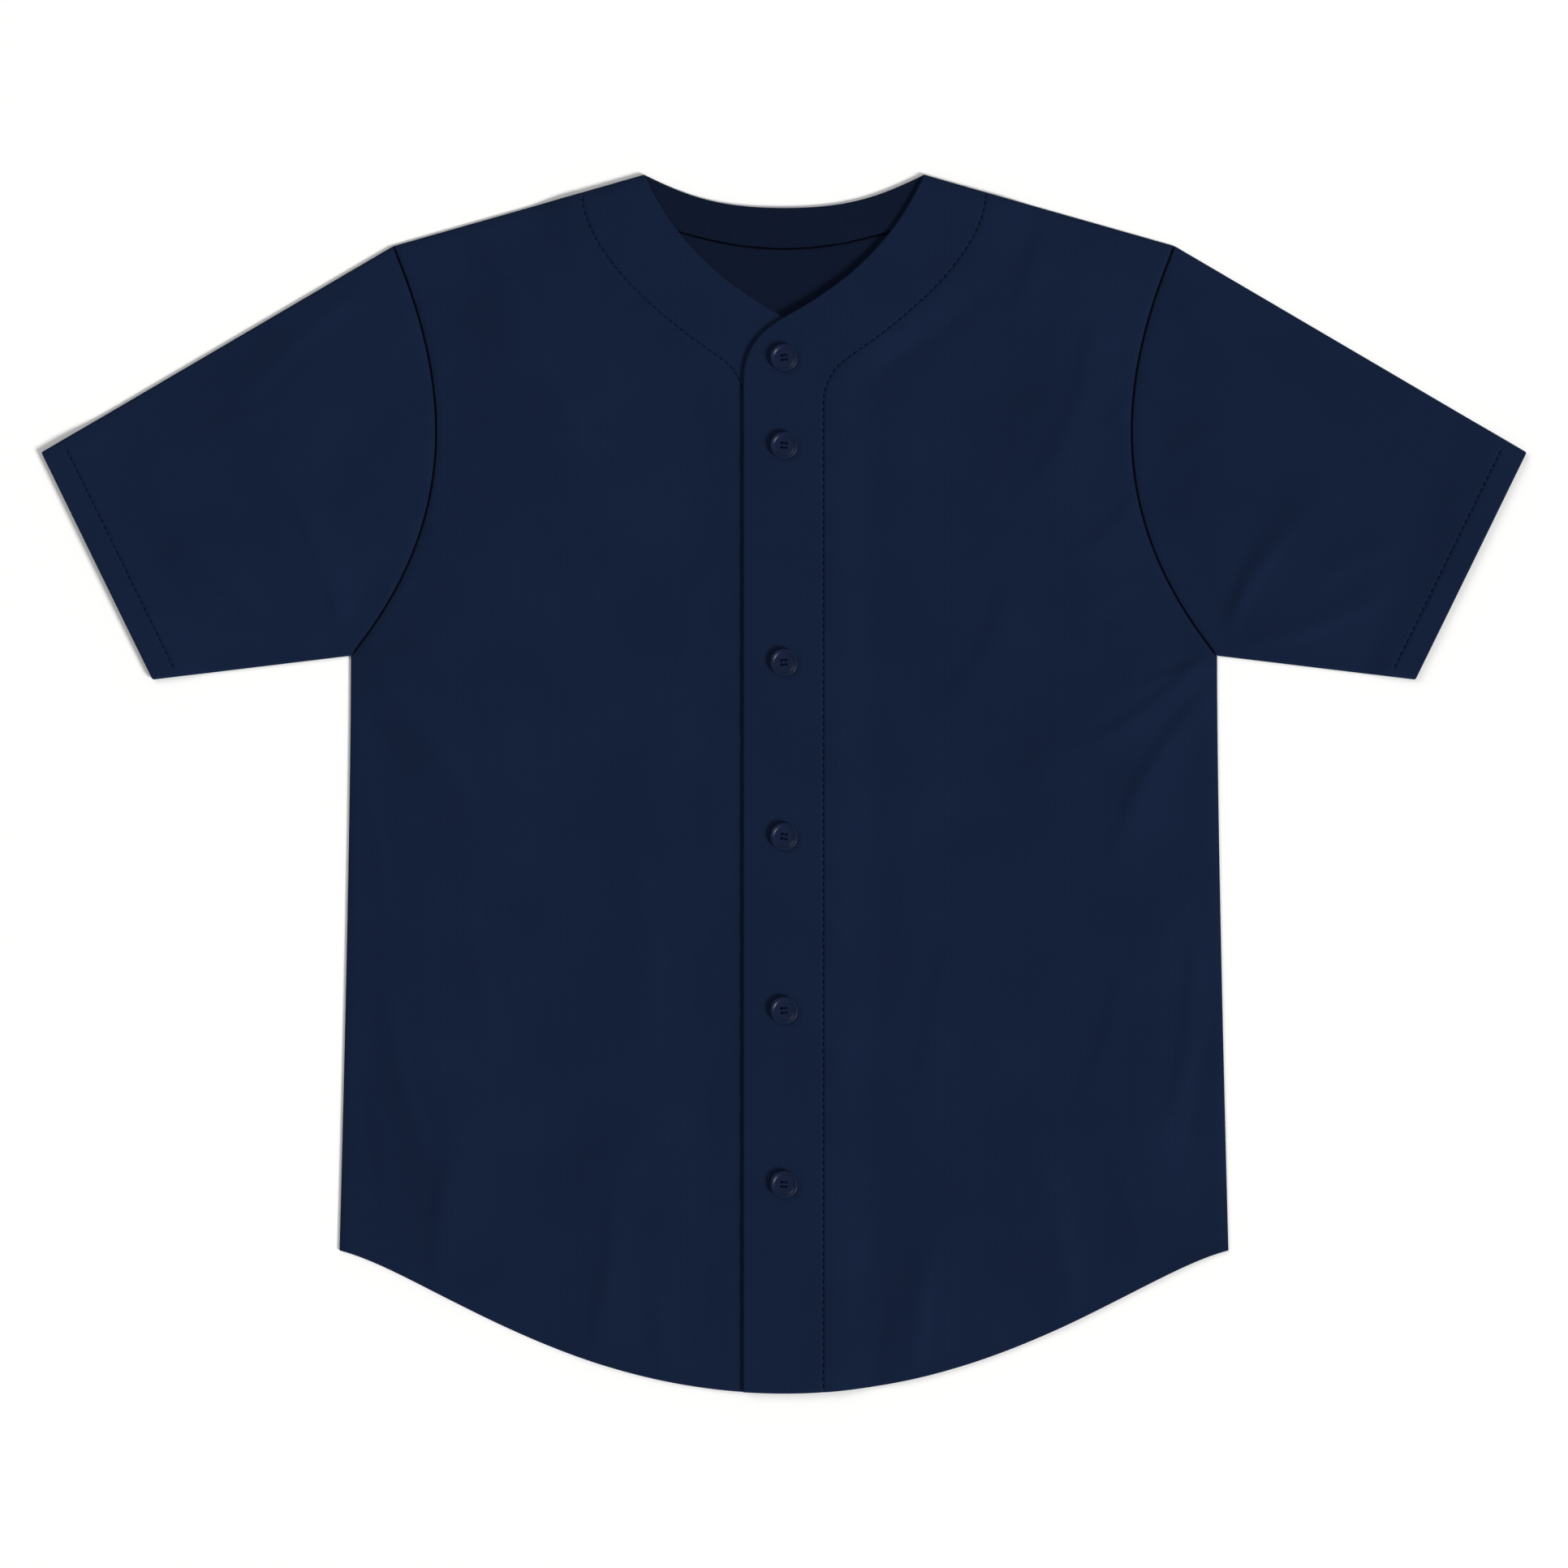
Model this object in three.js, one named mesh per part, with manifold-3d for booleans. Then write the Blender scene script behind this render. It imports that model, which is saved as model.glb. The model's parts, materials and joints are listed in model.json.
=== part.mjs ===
// Full-button baseball jersey, laid flat on its back with the buttons up.
// Millimetres, +Z up, +X toward the wearer's left side, +Y toward the neck. The origin lies on
// the surface under the jersey, in the middle of its outline.
import * as THREE from 'three';
import Module from 'manifold-3d';
import { mergeVertices } from 'three/addons/utils/BufferGeometryUtils.js';

const wasm = await Module();
wasm.setup();

const point = (x, y) => new THREE.Vector2(x, y);

// Cloth
const CLOTH = 1.0;             // wall of one layer
const FACED = 2.0;             // wall where the cloth is faced or turned under
const GAP = 0.3;               // clearance between layers and at seams
const FACING_STEP = 2.5;       // how far past its stitches a facing's edge thins out

// Half outline, seen from above with the centre front on x = 0
const NECK_POINT = point(92.4, 402);
const SHOULDER_POINT = point(257.9, 354.9);
const UNDERARM = point(285.8, 84.6);
const HEM_CORNER = point(293.3, -307.8);
const HEM_CENTRE = point(0, -402);
const BACK_NECK = point(0, 380.1);
const FRONT_NECK = point(0, 307.8);
const CUFF_TOP = point(489.9, 218.8);
const CUFF_BOTTOM = point(416.5, 68.8);

// Button stand, facings and hems
const STAND_EDGE = -27;        // free edge of a front, past the centre line
const STAND_CORNER = 266;      // height where that edge starts to round into the neckline
const STAND_STITCH = 26;       // row of stitches that holds the front facing
const FACING_SHOULDER = point(133.1, 390.3);
const FACING_CORNER = point(42.5, 281.5);
const STITCH_CORNER = 250;     // height where the facing's stitches start to round off
const BACK_FACING_BOTTOM = 353.3;
const CUFF_HEM = 16;           // depth of the sleeve hem

// Heights over the surface
const FRONT_TOP = CLOTH + GAP + CLOTH;                    // outer face of a single front
const NECK_RISE = CLOTH + GAP + FACED - CLOTH;            // over the back neck facing
const UNDER_STAND_RISE = FACED - CLOTH;                   // the stand that lies under
const OVER_STAND_RISE = FACED + GAP + FACED - CLOTH;      // the stand that lies on it
const STAND_SLOPE = [5, 36];   // where a stand's rise starts and stops to fall away
const LOFT = 1.8;              // air between the front and the back
const SLEEVE_LOFT = 1.8;       // air inside a sleeve
const LOFT_EDGE = 60;          // width of the soft slope down to a seam
const HEM_LOFT = 0.35;         // share of the air that is left at the hem
const CUFF_LOFT = 0.3;         // share of the air that is left at the cuff
const NECK_TURN = [0.36, 0.7]; // where, along a front's free edge, the stand's rise gives way
                               // to the rise over the back neck facing

// Buttons
const BUTTON = {
  radius: 9, rim: 2.6, rimWidth: 1.7, dish: 1.8, edge: 0.7, holeRadius: 0.9, holeOffset: 1.5,
};
const BUTTON_HEIGHTS = [281, 223.1, 80.1, -34.6, -149.2, -263.8];

// Mesh density
const LOWER_ROWS = 9;
const ARMHOLE_ROWS = 6;
const NECK_ROWS = 12;
const NECK_CROWDING = 1.25;    // over 1 crowds the rows into the round corner of the stand
const STAND_COLUMNS = 3;
const SLOPE_COLUMN = 14;       // a column of points part way down the stand's slope
const BODY_COLUMNS = 6;
const HEM_STEPS = 14;
const NECK_STEPS = 8;
const FACING_STEPS = 10;
const FOLD_ANGLES = [-90, -45, 0, 45, 90];
const BUTTON_SIDES = 20;
const HOLE_SIDES = 6;

// Soft folds, in the half outline's own coordinates. Width is the half width of the ridge.
const FOLDS = {
  left: [
    { from: point(268, 96), to: point(176, 18), width: 19, height: 1.6 },
    { from: point(272, 52), to: point(214, -58), width: 22, height: 1.3 },
    { from: point(262, -92), to: point(246, -236), width: 21, height: 1.4 },
    { from: point(186, -362), to: point(160, -232), width: 24, height: 1.5 },
    { from: point(88, -398), to: point(100, -296), width: 20, height: 1.1 },
    { from: point(206, 318), to: point(150, 176), width: 30, height: 1.2 },
  ],
  right: [
    { from: point(266, 104), to: point(190, 44), width: 18, height: 1.5 },
    { from: point(274, 70), to: point(196, -40), width: 24, height: 1.6 },
    { from: point(256, -130), to: point(222, -262), width: 24, height: 1.3 },
    { from: point(226, -344), to: point(214, -226), width: 19, height: 1.3 },
    { from: point(128, -388), to: point(112, -252), width: 23, height: 1.4 },
    { from: point(188, 300), to: point(128, 206), width: 28, height: 1.1 },
  ],
};
const SLEEVE_FOLDS = {
  left: [
    { from: point(296, 110), to: point(352, 186), width: 17, height: 1.5 },
    { from: point(312, 92), to: point(404, 128), width: 15, height: 1.4 },
    { from: point(262, 318), to: point(330, 262), width: 20, height: 1.3 },
  ],
  right: [
    { from: point(292, 118), to: point(338, 206), width: 18, height: 1.5 },
    { from: point(318, 96), to: point(392, 152), width: 16, height: 1.4 },
    { from: point(276, 326), to: point(362, 248), width: 22, height: 1.1 },
  ],
};

// Curves of the half outline
const hem = new THREE.CubicBezierCurve(HEM_CENTRE, point(145, -402), point(235, -322.4), HEM_CORNER);
const sideSeam = new THREE.QuadraticBezierCurve(UNDERARM, point(285.8, -20), HEM_CORNER);
const armhole = new THREE.CubicBezierCurve(
  UNDERARM, point(213.2, 173.8), point(218.7, 262.9), SHOULDER_POINT);
const backNeck = new THREE.CubicBezierCurve(
  BACK_NECK, point(42, 380.1), point(62, 387), NECK_POINT);
const backFacingEdge = new THREE.CubicBezierCurve(
  point(0, BACK_FACING_BOTTOM), point(40, BACK_FACING_BOTTOM), point(80, 365), FACING_SHOULDER);

const smoothstep = (low, high, value) => THREE.MathUtils.smoothstep(value, low, high);

// Height where a curve, which runs evenly along x, crosses x
function heightAt(curve, x) {
  let low = 0;
  let high = 1;
  for (let step = 0; step < 30; step += 1) {
    const middle = (low + high) / 2;
    if (curve.getPoint(middle).x < x) low = middle;
    else high = middle;
  }
  return curve.getPoint(low).y;
}

const hemHeight = (x) => heightAt(hem, Math.min(Math.abs(x), HEM_CORNER.x));

// The armhole's points, from the underarm to the shoulder. The upper part, beside the neck, is
// divided more finely, and shift moves the points toward the sleeve.
const ARMHOLE_SPLIT = 0.615;
const SEAM_SHIFT = 0.55 * GAP;
function armholePoints(shift) {
  const places = [];
  for (let i = 0; i < ARMHOLE_ROWS; i += 1) places.push((ARMHOLE_SPLIT * i) / ARMHOLE_ROWS);
  for (let i = 0; i <= NECK_ROWS; i += 1) {
    places.push(ARMHOLE_SPLIT + ((1 - ARMHOLE_SPLIT) * i) / NECK_ROWS);
  }
  return places.map((t) => {
    const along = armhole.getTangent(t);
    return armhole.getPoint(t).add(point(along.y, -along.x).multiplyScalar(shift));
  });
}
const bodyArmhole = armholePoints(-SEAM_SHIFT);
const sleeveArmhole = armholePoints(SEAM_SHIFT);
const stitchTop = bodyArmhole[ARMHOLE_ROWS].y;

// Free edge of a front from the button stand to the neck point
const frontEdge = new THREE.CurvePath();
frontEdge.add(new THREE.LineCurve(point(STAND_EDGE, stitchTop), point(STAND_EDGE, STAND_CORNER)));
frontEdge.add(new THREE.CubicBezierCurve(
  point(STAND_EDGE, STAND_CORNER), point(STAND_EDGE, 286), point(-17, 298), FRONT_NECK));
frontEdge.add(new THREE.CubicBezierCurve(
  FRONT_NECK, point(48.4, 333.8), point(75.2, 363.8), NECK_POINT));

// Row of stitches that holds the front facing, from the button stand to the shoulder
const facingStitch = new THREE.CurvePath();
facingStitch.add(new THREE.CubicBezierCurve(
  point(STAND_STITCH, STITCH_CORNER), point(STAND_STITCH, 265), point(33, 275), FACING_CORNER));
facingStitch.add(new THREE.CubicBezierCurve(
  FACING_CORNER, point(94, 316), point(133, 356), FACING_SHOULDER));

// Rows of a front, from the hem to the shoulder. Each has its point on the free edge, on the
// facing's stitches and on the seam; neck says how far it has turned from the button stand
// toward the shoulder.
function frontRows() {
  const rows = [];
  for (let i = 0; i < LOWER_ROWS; i += 1) {
    const y = THREE.MathUtils.lerp(HEM_CORNER.y, UNDERARM.y, i / LOWER_ROWS);
    const bow = 1 - smoothstep(HEM_CORNER.y, UNDERARM.y, y);
    const seam = sideSeam.getPoint(1 - i / LOWER_ROWS);
    const at = (x) => point(x, seam.y + (hemHeight(x) - HEM_CORNER.y) * bow);
    rows.push({ edge: at(STAND_EDGE), stitch: at(STAND_STITCH), seam, at, neck: 0 });
  }
  bodyArmhole.forEach((seam, i) => {
    const neck = Math.max(0, i - ARMHOLE_ROWS) / NECK_ROWS;
    const edge = neck > 0 ? frontEdge.getPoint(neck ** NECK_CROWDING) : point(STAND_EDGE, seam.y);
    const stitch = neck > 0 ? facingStitch.getPoint(neck) : point(STAND_STITCH, seam.y);
    rows.push({ edge, stitch, seam, at: null, neck });
  });
  return rows;
}

// Height of the soft folds of one table at a point
function foldHeight(folds, place) {
  let height = 0;
  for (const fold of folds) {
    const along = fold.to.clone().sub(fold.from);
    const t = THREE.MathUtils.clamp(
      place.clone().sub(fold.from).dot(along) / along.lengthSq(), 0, 1);
    const away = place.distanceTo(fold.from.clone().addScaledVector(along, t));
    height += fold.height * Math.exp(-((away / fold.width) ** 2));
  }
  return height;
}

// Distance of a point under the shoulder seam
const shoulderDirection = SHOULDER_POINT.clone().sub(NECK_POINT).normalize();
function belowShoulder(place) {
  return -shoulderDirection.cross(place.clone().sub(NECK_POINT));
}

// Outer face of a front. past is the distance from the facing's stitches toward the seam, and
// left is what remains to the seam.
function frontTop(place, row, past, left, standRise, folds) {
  const turned = smoothstep(...NECK_TURN, row.neck ** NECK_CROWDING);
  const rise = THREE.MathUtils.lerp(standRise, NECK_RISE, turned);
  const stand = rise * (1 - smoothstep(...STAND_SLOPE, past));
  const soft = smoothstep(STAND_SLOPE[0], LOFT_EDGE, past)
    * smoothstep(0, LOFT_EDGE, left)
    * smoothstep(0, LOFT_EDGE, belowShoulder(place))
    * THREE.MathUtils.lerp(HEM_LOFT, 1, smoothstep(0, LOFT_EDGE, place.y - hemHeight(place.x)));
  return FRONT_TOP + stand + soft * (LOFT + foldHeight(folds, place));
}

// Indexed triangles as a geometry. A mirrored piece has its triangles turned over.
function geometryOf(corners, triangles, mirrored) {
  const flat = corners.flatMap((corner) => [mirrored ? -corner.x : corner.x, corner.y, corner.z]);
  const index = triangles.flatMap(([a, b, c]) => (mirrored ? [a, c, b] : [a, b, c]));
  const geometry = new THREE.BufferGeometry();
  geometry.setAttribute('position', new THREE.Float32BufferAttribute(flat, 3));
  geometry.setIndex(index);
  geometry.computeVertexNormals();
  return geometry;
}

// Closed slab between two grids of corners of the same size
function slab(top, bottom, mirrored) {
  const rows = top.length;
  const columns = top[0].length;
  const corners = [...top.flat(), ...bottom.flat()];
  const over = (row, column) => row * columns + column;
  const under = (row, column) => over(row, column) + rows * columns;
  const triangles = [];
  const quad = (a, b, c, d) => triangles.push([a, b, c], [a, c, d]);
  for (let row = 0; row < rows - 1; row += 1) {
    for (let column = 0; column < columns - 1; column += 1) {
      quad(over(row, column), over(row, column + 1),
        over(row + 1, column + 1), over(row + 1, column));
      quad(under(row, column), under(row + 1, column),
        under(row + 1, column + 1), under(row, column + 1));
    }
  }
  for (let row = 0; row < rows - 1; row += 1) {
    const last = columns - 1;
    quad(over(row + 1, last), over(row, last), under(row, last), under(row + 1, last));
    quad(over(row, 0), over(row + 1, 0), under(row + 1, 0), under(row, 0));
  }
  for (let column = 0; column < columns - 1; column += 1) {
    const last = rows - 1;
    quad(over(0, column + 1), over(0, column), under(0, column), under(0, column + 1));
    quad(over(last, column), over(last, column + 1), under(last, column + 1), under(last, column));
  }
  return geometryOf(corners, triangles, mirrored);
}

// One front, from its rows. The facing doubles the wall from the free edge to its stitches.
function front(standRise, folds, mirrored) {
  const top = [];
  const bottom = [];
  for (const row of frontRows()) {
    const reach = row.seam.distanceTo(row.stitch);
    const steps = [0, FACING_STEP, SLOPE_COLUMN, STAND_SLOPE[1]];
    for (let i = 1; i <= BODY_COLUMNS; i += 1) {
      steps.push(THREE.MathUtils.lerp(STAND_SLOPE[1], reach, i / BODY_COLUMNS));
    }
    const places = [];
    for (let i = 0; i < STAND_COLUMNS; i += 1) {
      const place = row.edge.clone().lerp(row.stitch, i / STAND_COLUMNS);
      places.push({ place, past: 0 });
    }
    for (const past of steps) {
      places.push({ place: row.stitch.clone().lerp(row.seam, past / reach), past });
    }
    const overs = [];
    const unders = [];
    places.forEach(({ place, past }, i) => {
      if (row.at) place.copy(row.at(place.x));
      const wall = i <= STAND_COLUMNS ? FACED : CLOTH;
      const height = frontTop(place, row, past, reach - past, standRise, folds);
      overs.push(new THREE.Vector3(place.x, place.y, height));
      unders.push(new THREE.Vector3(place.x, place.y, height - wall));
    });
    top.push(overs);
    bottom.push(unders);
  }
  return slab(top, bottom, mirrored);
}

// Flat panel cut from one layer of cloth, symmetrical about the centre line
function flatPanel(half, lift) {
  const other = half.map((place) => point(-place.x, place.y)).reverse();
  const outline = [...half, ...other].filter(
    (place, i, all) => place.distanceTo(all[(i + 1) % all.length]) > 0.01);
  const geometry = new THREE.ExtrudeGeometry(
    new THREE.Shape(outline), { depth: CLOTH, bevelEnabled: false });
  return geometry.translate(0, 0, lift);
}

// Back, from the centre of the hem round to the centre of the neck
function backPanel() {
  const sideRows = sideSeam.getPoints(LOWER_ROWS).reverse().slice(1, -1);
  return flatPanel([
    ...hem.getPoints(HEM_STEPS), ...sideRows, ...bodyArmhole,
    ...backNeck.getPoints(NECK_STEPS).reverse(),
  ], 0);
}

// Facing inside the back neck. It lies on the back and ends at the shoulder seams.
function backNeckFacing() {
  const lower = backFacingEdge.getPoints(FACING_STEPS);
  const upper = backNeck.getPoints(NECK_STEPS).reverse();
  return flatPanel([...lower, ...upper], CLOTH + GAP);
}

// One sleeve: flattened rings from the armhole to the cuff. The fold of cloth at the top edge
// and the seam at the lower edge are half ellipses, FOLD_REACH long in plan.
const FOLD_REACH = 2.5;
const SLEEVE_STATIONS = [0, 0.1, 0.25, 0.42, 0.6, 0.8, 1];
const CUFF_STATIONS = [CUFF_HEM, CUFF_HEM / 2, 0];

function sleeveSections() {
  const count = sleeveArmhole.length - 1;
  const cuffLine = CUFF_TOP.clone().sub(CUFF_BOTTOM).normalize();
  const inward = point(-cuffLine.y, cuffLine.x);
  const across = sleeveArmhole.map((place, i) => {
    const share = (place.y - UNDERARM.y) / (SHOULDER_POINT.y - UNDERARM.y);
    const edge = i === 0 ? 0 : Math.min(1, share);
    const cuff = CUFF_BOTTOM.clone().lerp(CUFF_TOP, i === count ? 1 : edge);
    const back = place.clone().sub(cuff).normalize();
    const before = (depth) => cuff.clone().addScaledVector(back, depth / back.dot(inward));
    return { armhole: place, before };
  });
  const hemStart = CUFF_HEM + FACING_STEP;
  const sections = SLEEVE_STATIONS.map((t) => ({
    places: across.map((line) => line.armhole.clone().lerp(line.before(hemStart), t)),
    wall: CLOTH,
    hemmed: smoothstep(0.8, 1, t),
    loft: smoothstep(0, 0.3, t) * THREE.MathUtils.lerp(1, CUFF_LOFT, smoothstep(0.7, 1, t)),
  }));
  for (const depth of CUFF_STATIONS) {
    const places = across.map((line) => line.before(depth));
    sections.push({ places, wall: FACED, hemmed: 1, loft: CUFF_LOFT });
  }
  return sections;
}

// The outer or the inner loop of a section, in order round the flattened tube
function sleeveLoop(section, inset, folds) {
  const { places, hemmed, loft } = section;
  const last = places.length - 1;
  const flat = CLOTH + CLOTH + GAP + hemmed * 2 * (FACED - CLOTH);
  const heights = places.map((place, i) => {
    const across = Math.sin((Math.PI * i) / last);
    return flat + loft * across * (SLEEVE_LOFT + foldHeight(folds, place));
  });
  const loop = [];
  const turn = (end, next, angles) => {
    const along = places[next].clone().sub(places[end]).normalize();
    for (const degrees of angles) {
      const angle = THREE.MathUtils.degToRad(degrees);
      const reach = FOLD_REACH - (FOLD_REACH - inset) * Math.cos(angle);
      const place = places[end].clone().addScaledVector(along, reach);
      const height = flat / 2 + (flat / 2 - inset) * Math.sin(angle);
      loop.push(new THREE.Vector3(place.x, place.y, height));
    }
  };
  turn(0, 1, FOLD_ANGLES);
  for (let i = 1; i < last; i += 1) {
    loop.push(new THREE.Vector3(places[i].x, places[i].y, heights[i] - inset));
  }
  turn(last, last - 1, FOLD_ANGLES.toReversed());
  for (let i = last - 1; i > 0; i -= 1) {
    loop.push(new THREE.Vector3(places[i].x, places[i].y, inset));
  }
  return loop;
}

function sleeve(folds, mirrored) {
  const sections = sleeveSections();
  const outer = sections.map((section) => sleeveLoop(section, 0, folds));
  const inner = sections.map((section) => sleeveLoop(section, section.wall, folds));
  const around = outer[0].length;
  const corners = [...outer.flat(), ...inner.flat()];
  const outside = (station, i) => station * around + (i % around);
  const inside = (station, i) => outside(station, i) + sections.length * around;
  const triangles = [];
  const quad = (a, b, c, d) => triangles.push([a, b, c], [a, c, d]);
  const cuff = sections.length - 1;
  for (let i = 0; i < around; i += 1) {
    for (let station = 0; station < cuff; station += 1) {
      quad(outside(station, i), outside(station + 1, i),
        outside(station + 1, i + 1), outside(station, i + 1));
      quad(inside(station, i), inside(station, i + 1),
        inside(station + 1, i + 1), inside(station + 1, i));
    }
    quad(outside(0, i), outside(0, i + 1), inside(0, i + 1), inside(0, i));
    quad(outside(cuff, i + 1), outside(cuff, i), inside(cuff, i), inside(cuff, i + 1));
  }
  return geometryOf(corners, triangles, mirrored);
}

// A closed geometry as a solid that can be cut
function solidOf(geometry) {
  geometry.deleteAttribute('normal');
  geometry.deleteAttribute('uv');
  const merged = mergeVertices(geometry, 1e-4);
  const index = Array.from(merged.index.array);
  const kept = [];
  for (let i = 0; i < index.length; i += 3) {
    const [a, b, c] = index.slice(i, i + 3);
    if (a !== b && b !== c && c !== a) kept.push(a, b, c);
  }
  return new wasm.Manifold(new wasm.Mesh({
    numProp: 3,
    vertProperties: new Float32Array(merged.attributes.position.array),
    triVerts: new Uint32Array(kept),
  }));
}

function geometryFrom(solid) {
  const mesh = solid.getMesh();
  const geometry = new THREE.BufferGeometry();
  geometry.setAttribute('position', new THREE.BufferAttribute(mesh.vertProperties, 3));
  geometry.setIndex(new THREE.BufferAttribute(mesh.triVerts, 1));
  geometry.computeVertexNormals();
  return geometry;
}

// Round button with a raised rim, a dished face and four holes
function button() {
  const { radius, rim, rimWidth, dish, edge, holeRadius, holeOffset } = BUTTON;
  const profile = [
    point(0, 0), point(radius - edge, 0), point(radius, edge), point(radius, rim - edge),
    point(radius - edge, rim), point(radius - rimWidth, rim),
    point(radius - rimWidth - (rim - dish), dish), point(0, dish),
  ];
  let solid = solidOf(new THREE.LatheGeometry(profile, BUTTON_SIDES).rotateX(Math.PI / 2));
  for (const x of [-holeOffset, holeOffset]) {
    for (const y of [-holeOffset, holeOffset]) {
      const hole = new THREE.CylinderGeometry(holeRadius, holeRadius, 4 * rim, HOLE_SIDES);
      solid = solid.subtract(solidOf(hole.rotateX(Math.PI / 2).translate(x, y, 0)));
    }
  }
  return geometryFrom(solid);
}

const finish = (color, roughness) => new THREE.MeshStandardMaterial(
  { color, roughness, metalness: 0 });
const jerseyCloth = finish('#16223a', 0.85);
const clothInside = finish('#11192c', 0.9);
const buttonPlastic = finish('#131d33', 0.35);

const jersey = new THREE.Group();
function add(name, geometry, material) {
  const mesh = new THREE.Mesh(geometry, material);
  mesh.name = name;
  jersey.add(mesh);
  return mesh;
}

add('back_panel', backPanel(), jerseyCloth);
add('back_neck_facing', backNeckFacing(), clothInside);
add('front_left_panel', front(OVER_STAND_RISE, FOLDS.left, false), jerseyCloth);
add('front_right_panel', front(UNDER_STAND_RISE, FOLDS.right, true), jerseyCloth);
add('sleeve_left', sleeve(SLEEVE_FOLDS.left, false), jerseyCloth);
add('sleeve_right', sleeve(SLEEVE_FOLDS.right, true), jerseyCloth);
BUTTON_HEIGHTS.forEach((height, i) => {
  const mesh = add(`button_${i + 1}`, button(), buttonPlastic);
  mesh.position.set(0, height, FRONT_TOP + OVER_STAND_RISE + GAP);
});

export default jersey;
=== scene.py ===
"""Builds the finished look of a full-button baseball jersey, laid flat, around its frame."""
import json
import math

import bpy
import numpy as np
from bpy.props import FloatProperty, FloatVectorProperty, PointerProperty
from mathutils import Matrix, Vector

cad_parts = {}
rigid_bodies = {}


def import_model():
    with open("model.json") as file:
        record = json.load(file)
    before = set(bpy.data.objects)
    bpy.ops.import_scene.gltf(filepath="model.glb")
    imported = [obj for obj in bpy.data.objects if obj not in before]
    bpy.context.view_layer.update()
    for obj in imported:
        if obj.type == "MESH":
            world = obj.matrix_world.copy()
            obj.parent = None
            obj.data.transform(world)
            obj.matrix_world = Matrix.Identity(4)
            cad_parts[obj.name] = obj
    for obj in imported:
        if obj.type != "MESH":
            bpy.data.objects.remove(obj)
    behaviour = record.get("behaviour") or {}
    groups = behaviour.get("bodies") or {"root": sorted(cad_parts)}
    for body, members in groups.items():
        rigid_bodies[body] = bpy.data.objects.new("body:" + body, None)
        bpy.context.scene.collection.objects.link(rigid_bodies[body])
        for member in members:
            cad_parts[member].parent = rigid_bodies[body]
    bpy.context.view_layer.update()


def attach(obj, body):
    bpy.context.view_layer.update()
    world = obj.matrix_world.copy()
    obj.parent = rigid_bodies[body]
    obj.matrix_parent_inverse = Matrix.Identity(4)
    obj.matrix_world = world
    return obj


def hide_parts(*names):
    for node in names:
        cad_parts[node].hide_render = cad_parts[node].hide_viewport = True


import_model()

bl_info = {
    "name": "Baseball jersey, laid flat",
    "version": (1, 0, 0),
    "blender": (4, 5, 0),
    "location": "3D View > Sidebar > Jersey",
    "description": "Cloth panels, sleeves, sewing and buttons of a full-button jersey",
    "category": "Add Mesh",
}

MM = 0.001  # the pattern is in millimetres, Blender in metres

# Cloth
CLOTH = 1.0
FACED = 2.0
GAP = 0.3

# Half outline, seen from above with the centre front on x = 0
NECK_POINT = (92.4, 402.0)
SHOULDER_POINT = (257.9, 354.9)
UNDERARM = (285.8, 84.6)
HEM_CORNER = (293.3, -307.8)
HEM_CENTRE = (0.0, -402.0)
BACK_NECK = (0.0, 380.1)
FRONT_NECK = (0.0, 307.8)
CUFF_TOP = (489.9, 218.8)
CUFF_BOTTOM = (416.5, 68.8)

# Button stand, facings and hems
STAND_EDGE = -27.0
STAND_CORNER = 266.0
STAND_STITCH = 26.0
FACING_SHOULDER = (133.1, 390.3)
FACING_CORNER = (42.5, 281.5)
STITCH_CORNER = 250.0
BACK_FACING_BOTTOM = 353.3
CUFF_HEM = 16.0

# Heights over the surface
FRONT_TOP = CLOTH + GAP + CLOTH
NECK_RISE = CLOTH + GAP + FACED - CLOTH
UNDER_STAND_RISE = FACED - CLOTH
OVER_STAND_RISE = FACED + GAP + FACED - CLOTH
STAND_SLOPE = (5.0, 36.0)
LOFT = 1.8
LOFT_EDGE = 60.0
HEM_LOFT = 0.35
CUFF_LOFT = 0.3
NECK_TURN = (0.36, 0.7)
NECK_CROWDING = 1.25
ARMHOLE_SPLIT = 0.615
FOLD_REACH = 2.5
LEAST_ROOM = 0.03
STAND_CLEARANCE = 0.05
FACING_STEP = 2.5

# Curves of the half outline, as Bezier control points
HEM = (HEM_CENTRE, (145.0, -402.0), (235.0, -322.4), HEM_CORNER)
SIDE_SEAM = (UNDERARM, (285.8, -20.0), HEM_CORNER)
ARMHOLE = (UNDERARM, (213.2, 173.8), (218.7, 262.9), SHOULDER_POINT)
BACK_NECK_EDGE = (BACK_NECK, (42.0, 380.1), (62.0, 387.0), NECK_POINT)
BACK_FACING_EDGE = (
    (0.0, BACK_FACING_BOTTOM), (40.0, BACK_FACING_BOTTOM), (80.0, 365.0), FACING_SHOULDER)
STAND_ROUND = ((STAND_EDGE, STAND_CORNER), (STAND_EDGE, 286.0), (-17.0, 298.0), FRONT_NECK)
NECKLINE = (FRONT_NECK, (48.4, 333.8), (75.2, 363.8), NECK_POINT)
STITCH_ROUND = ((STAND_STITCH, STITCH_CORNER), (STAND_STITCH, 265.0), (33.0, 275.0), FACING_CORNER)
STITCH_NECK = (FACING_CORNER, (94.0, 316.0), (133.0, 356.0), FACING_SHOULDER)

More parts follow.
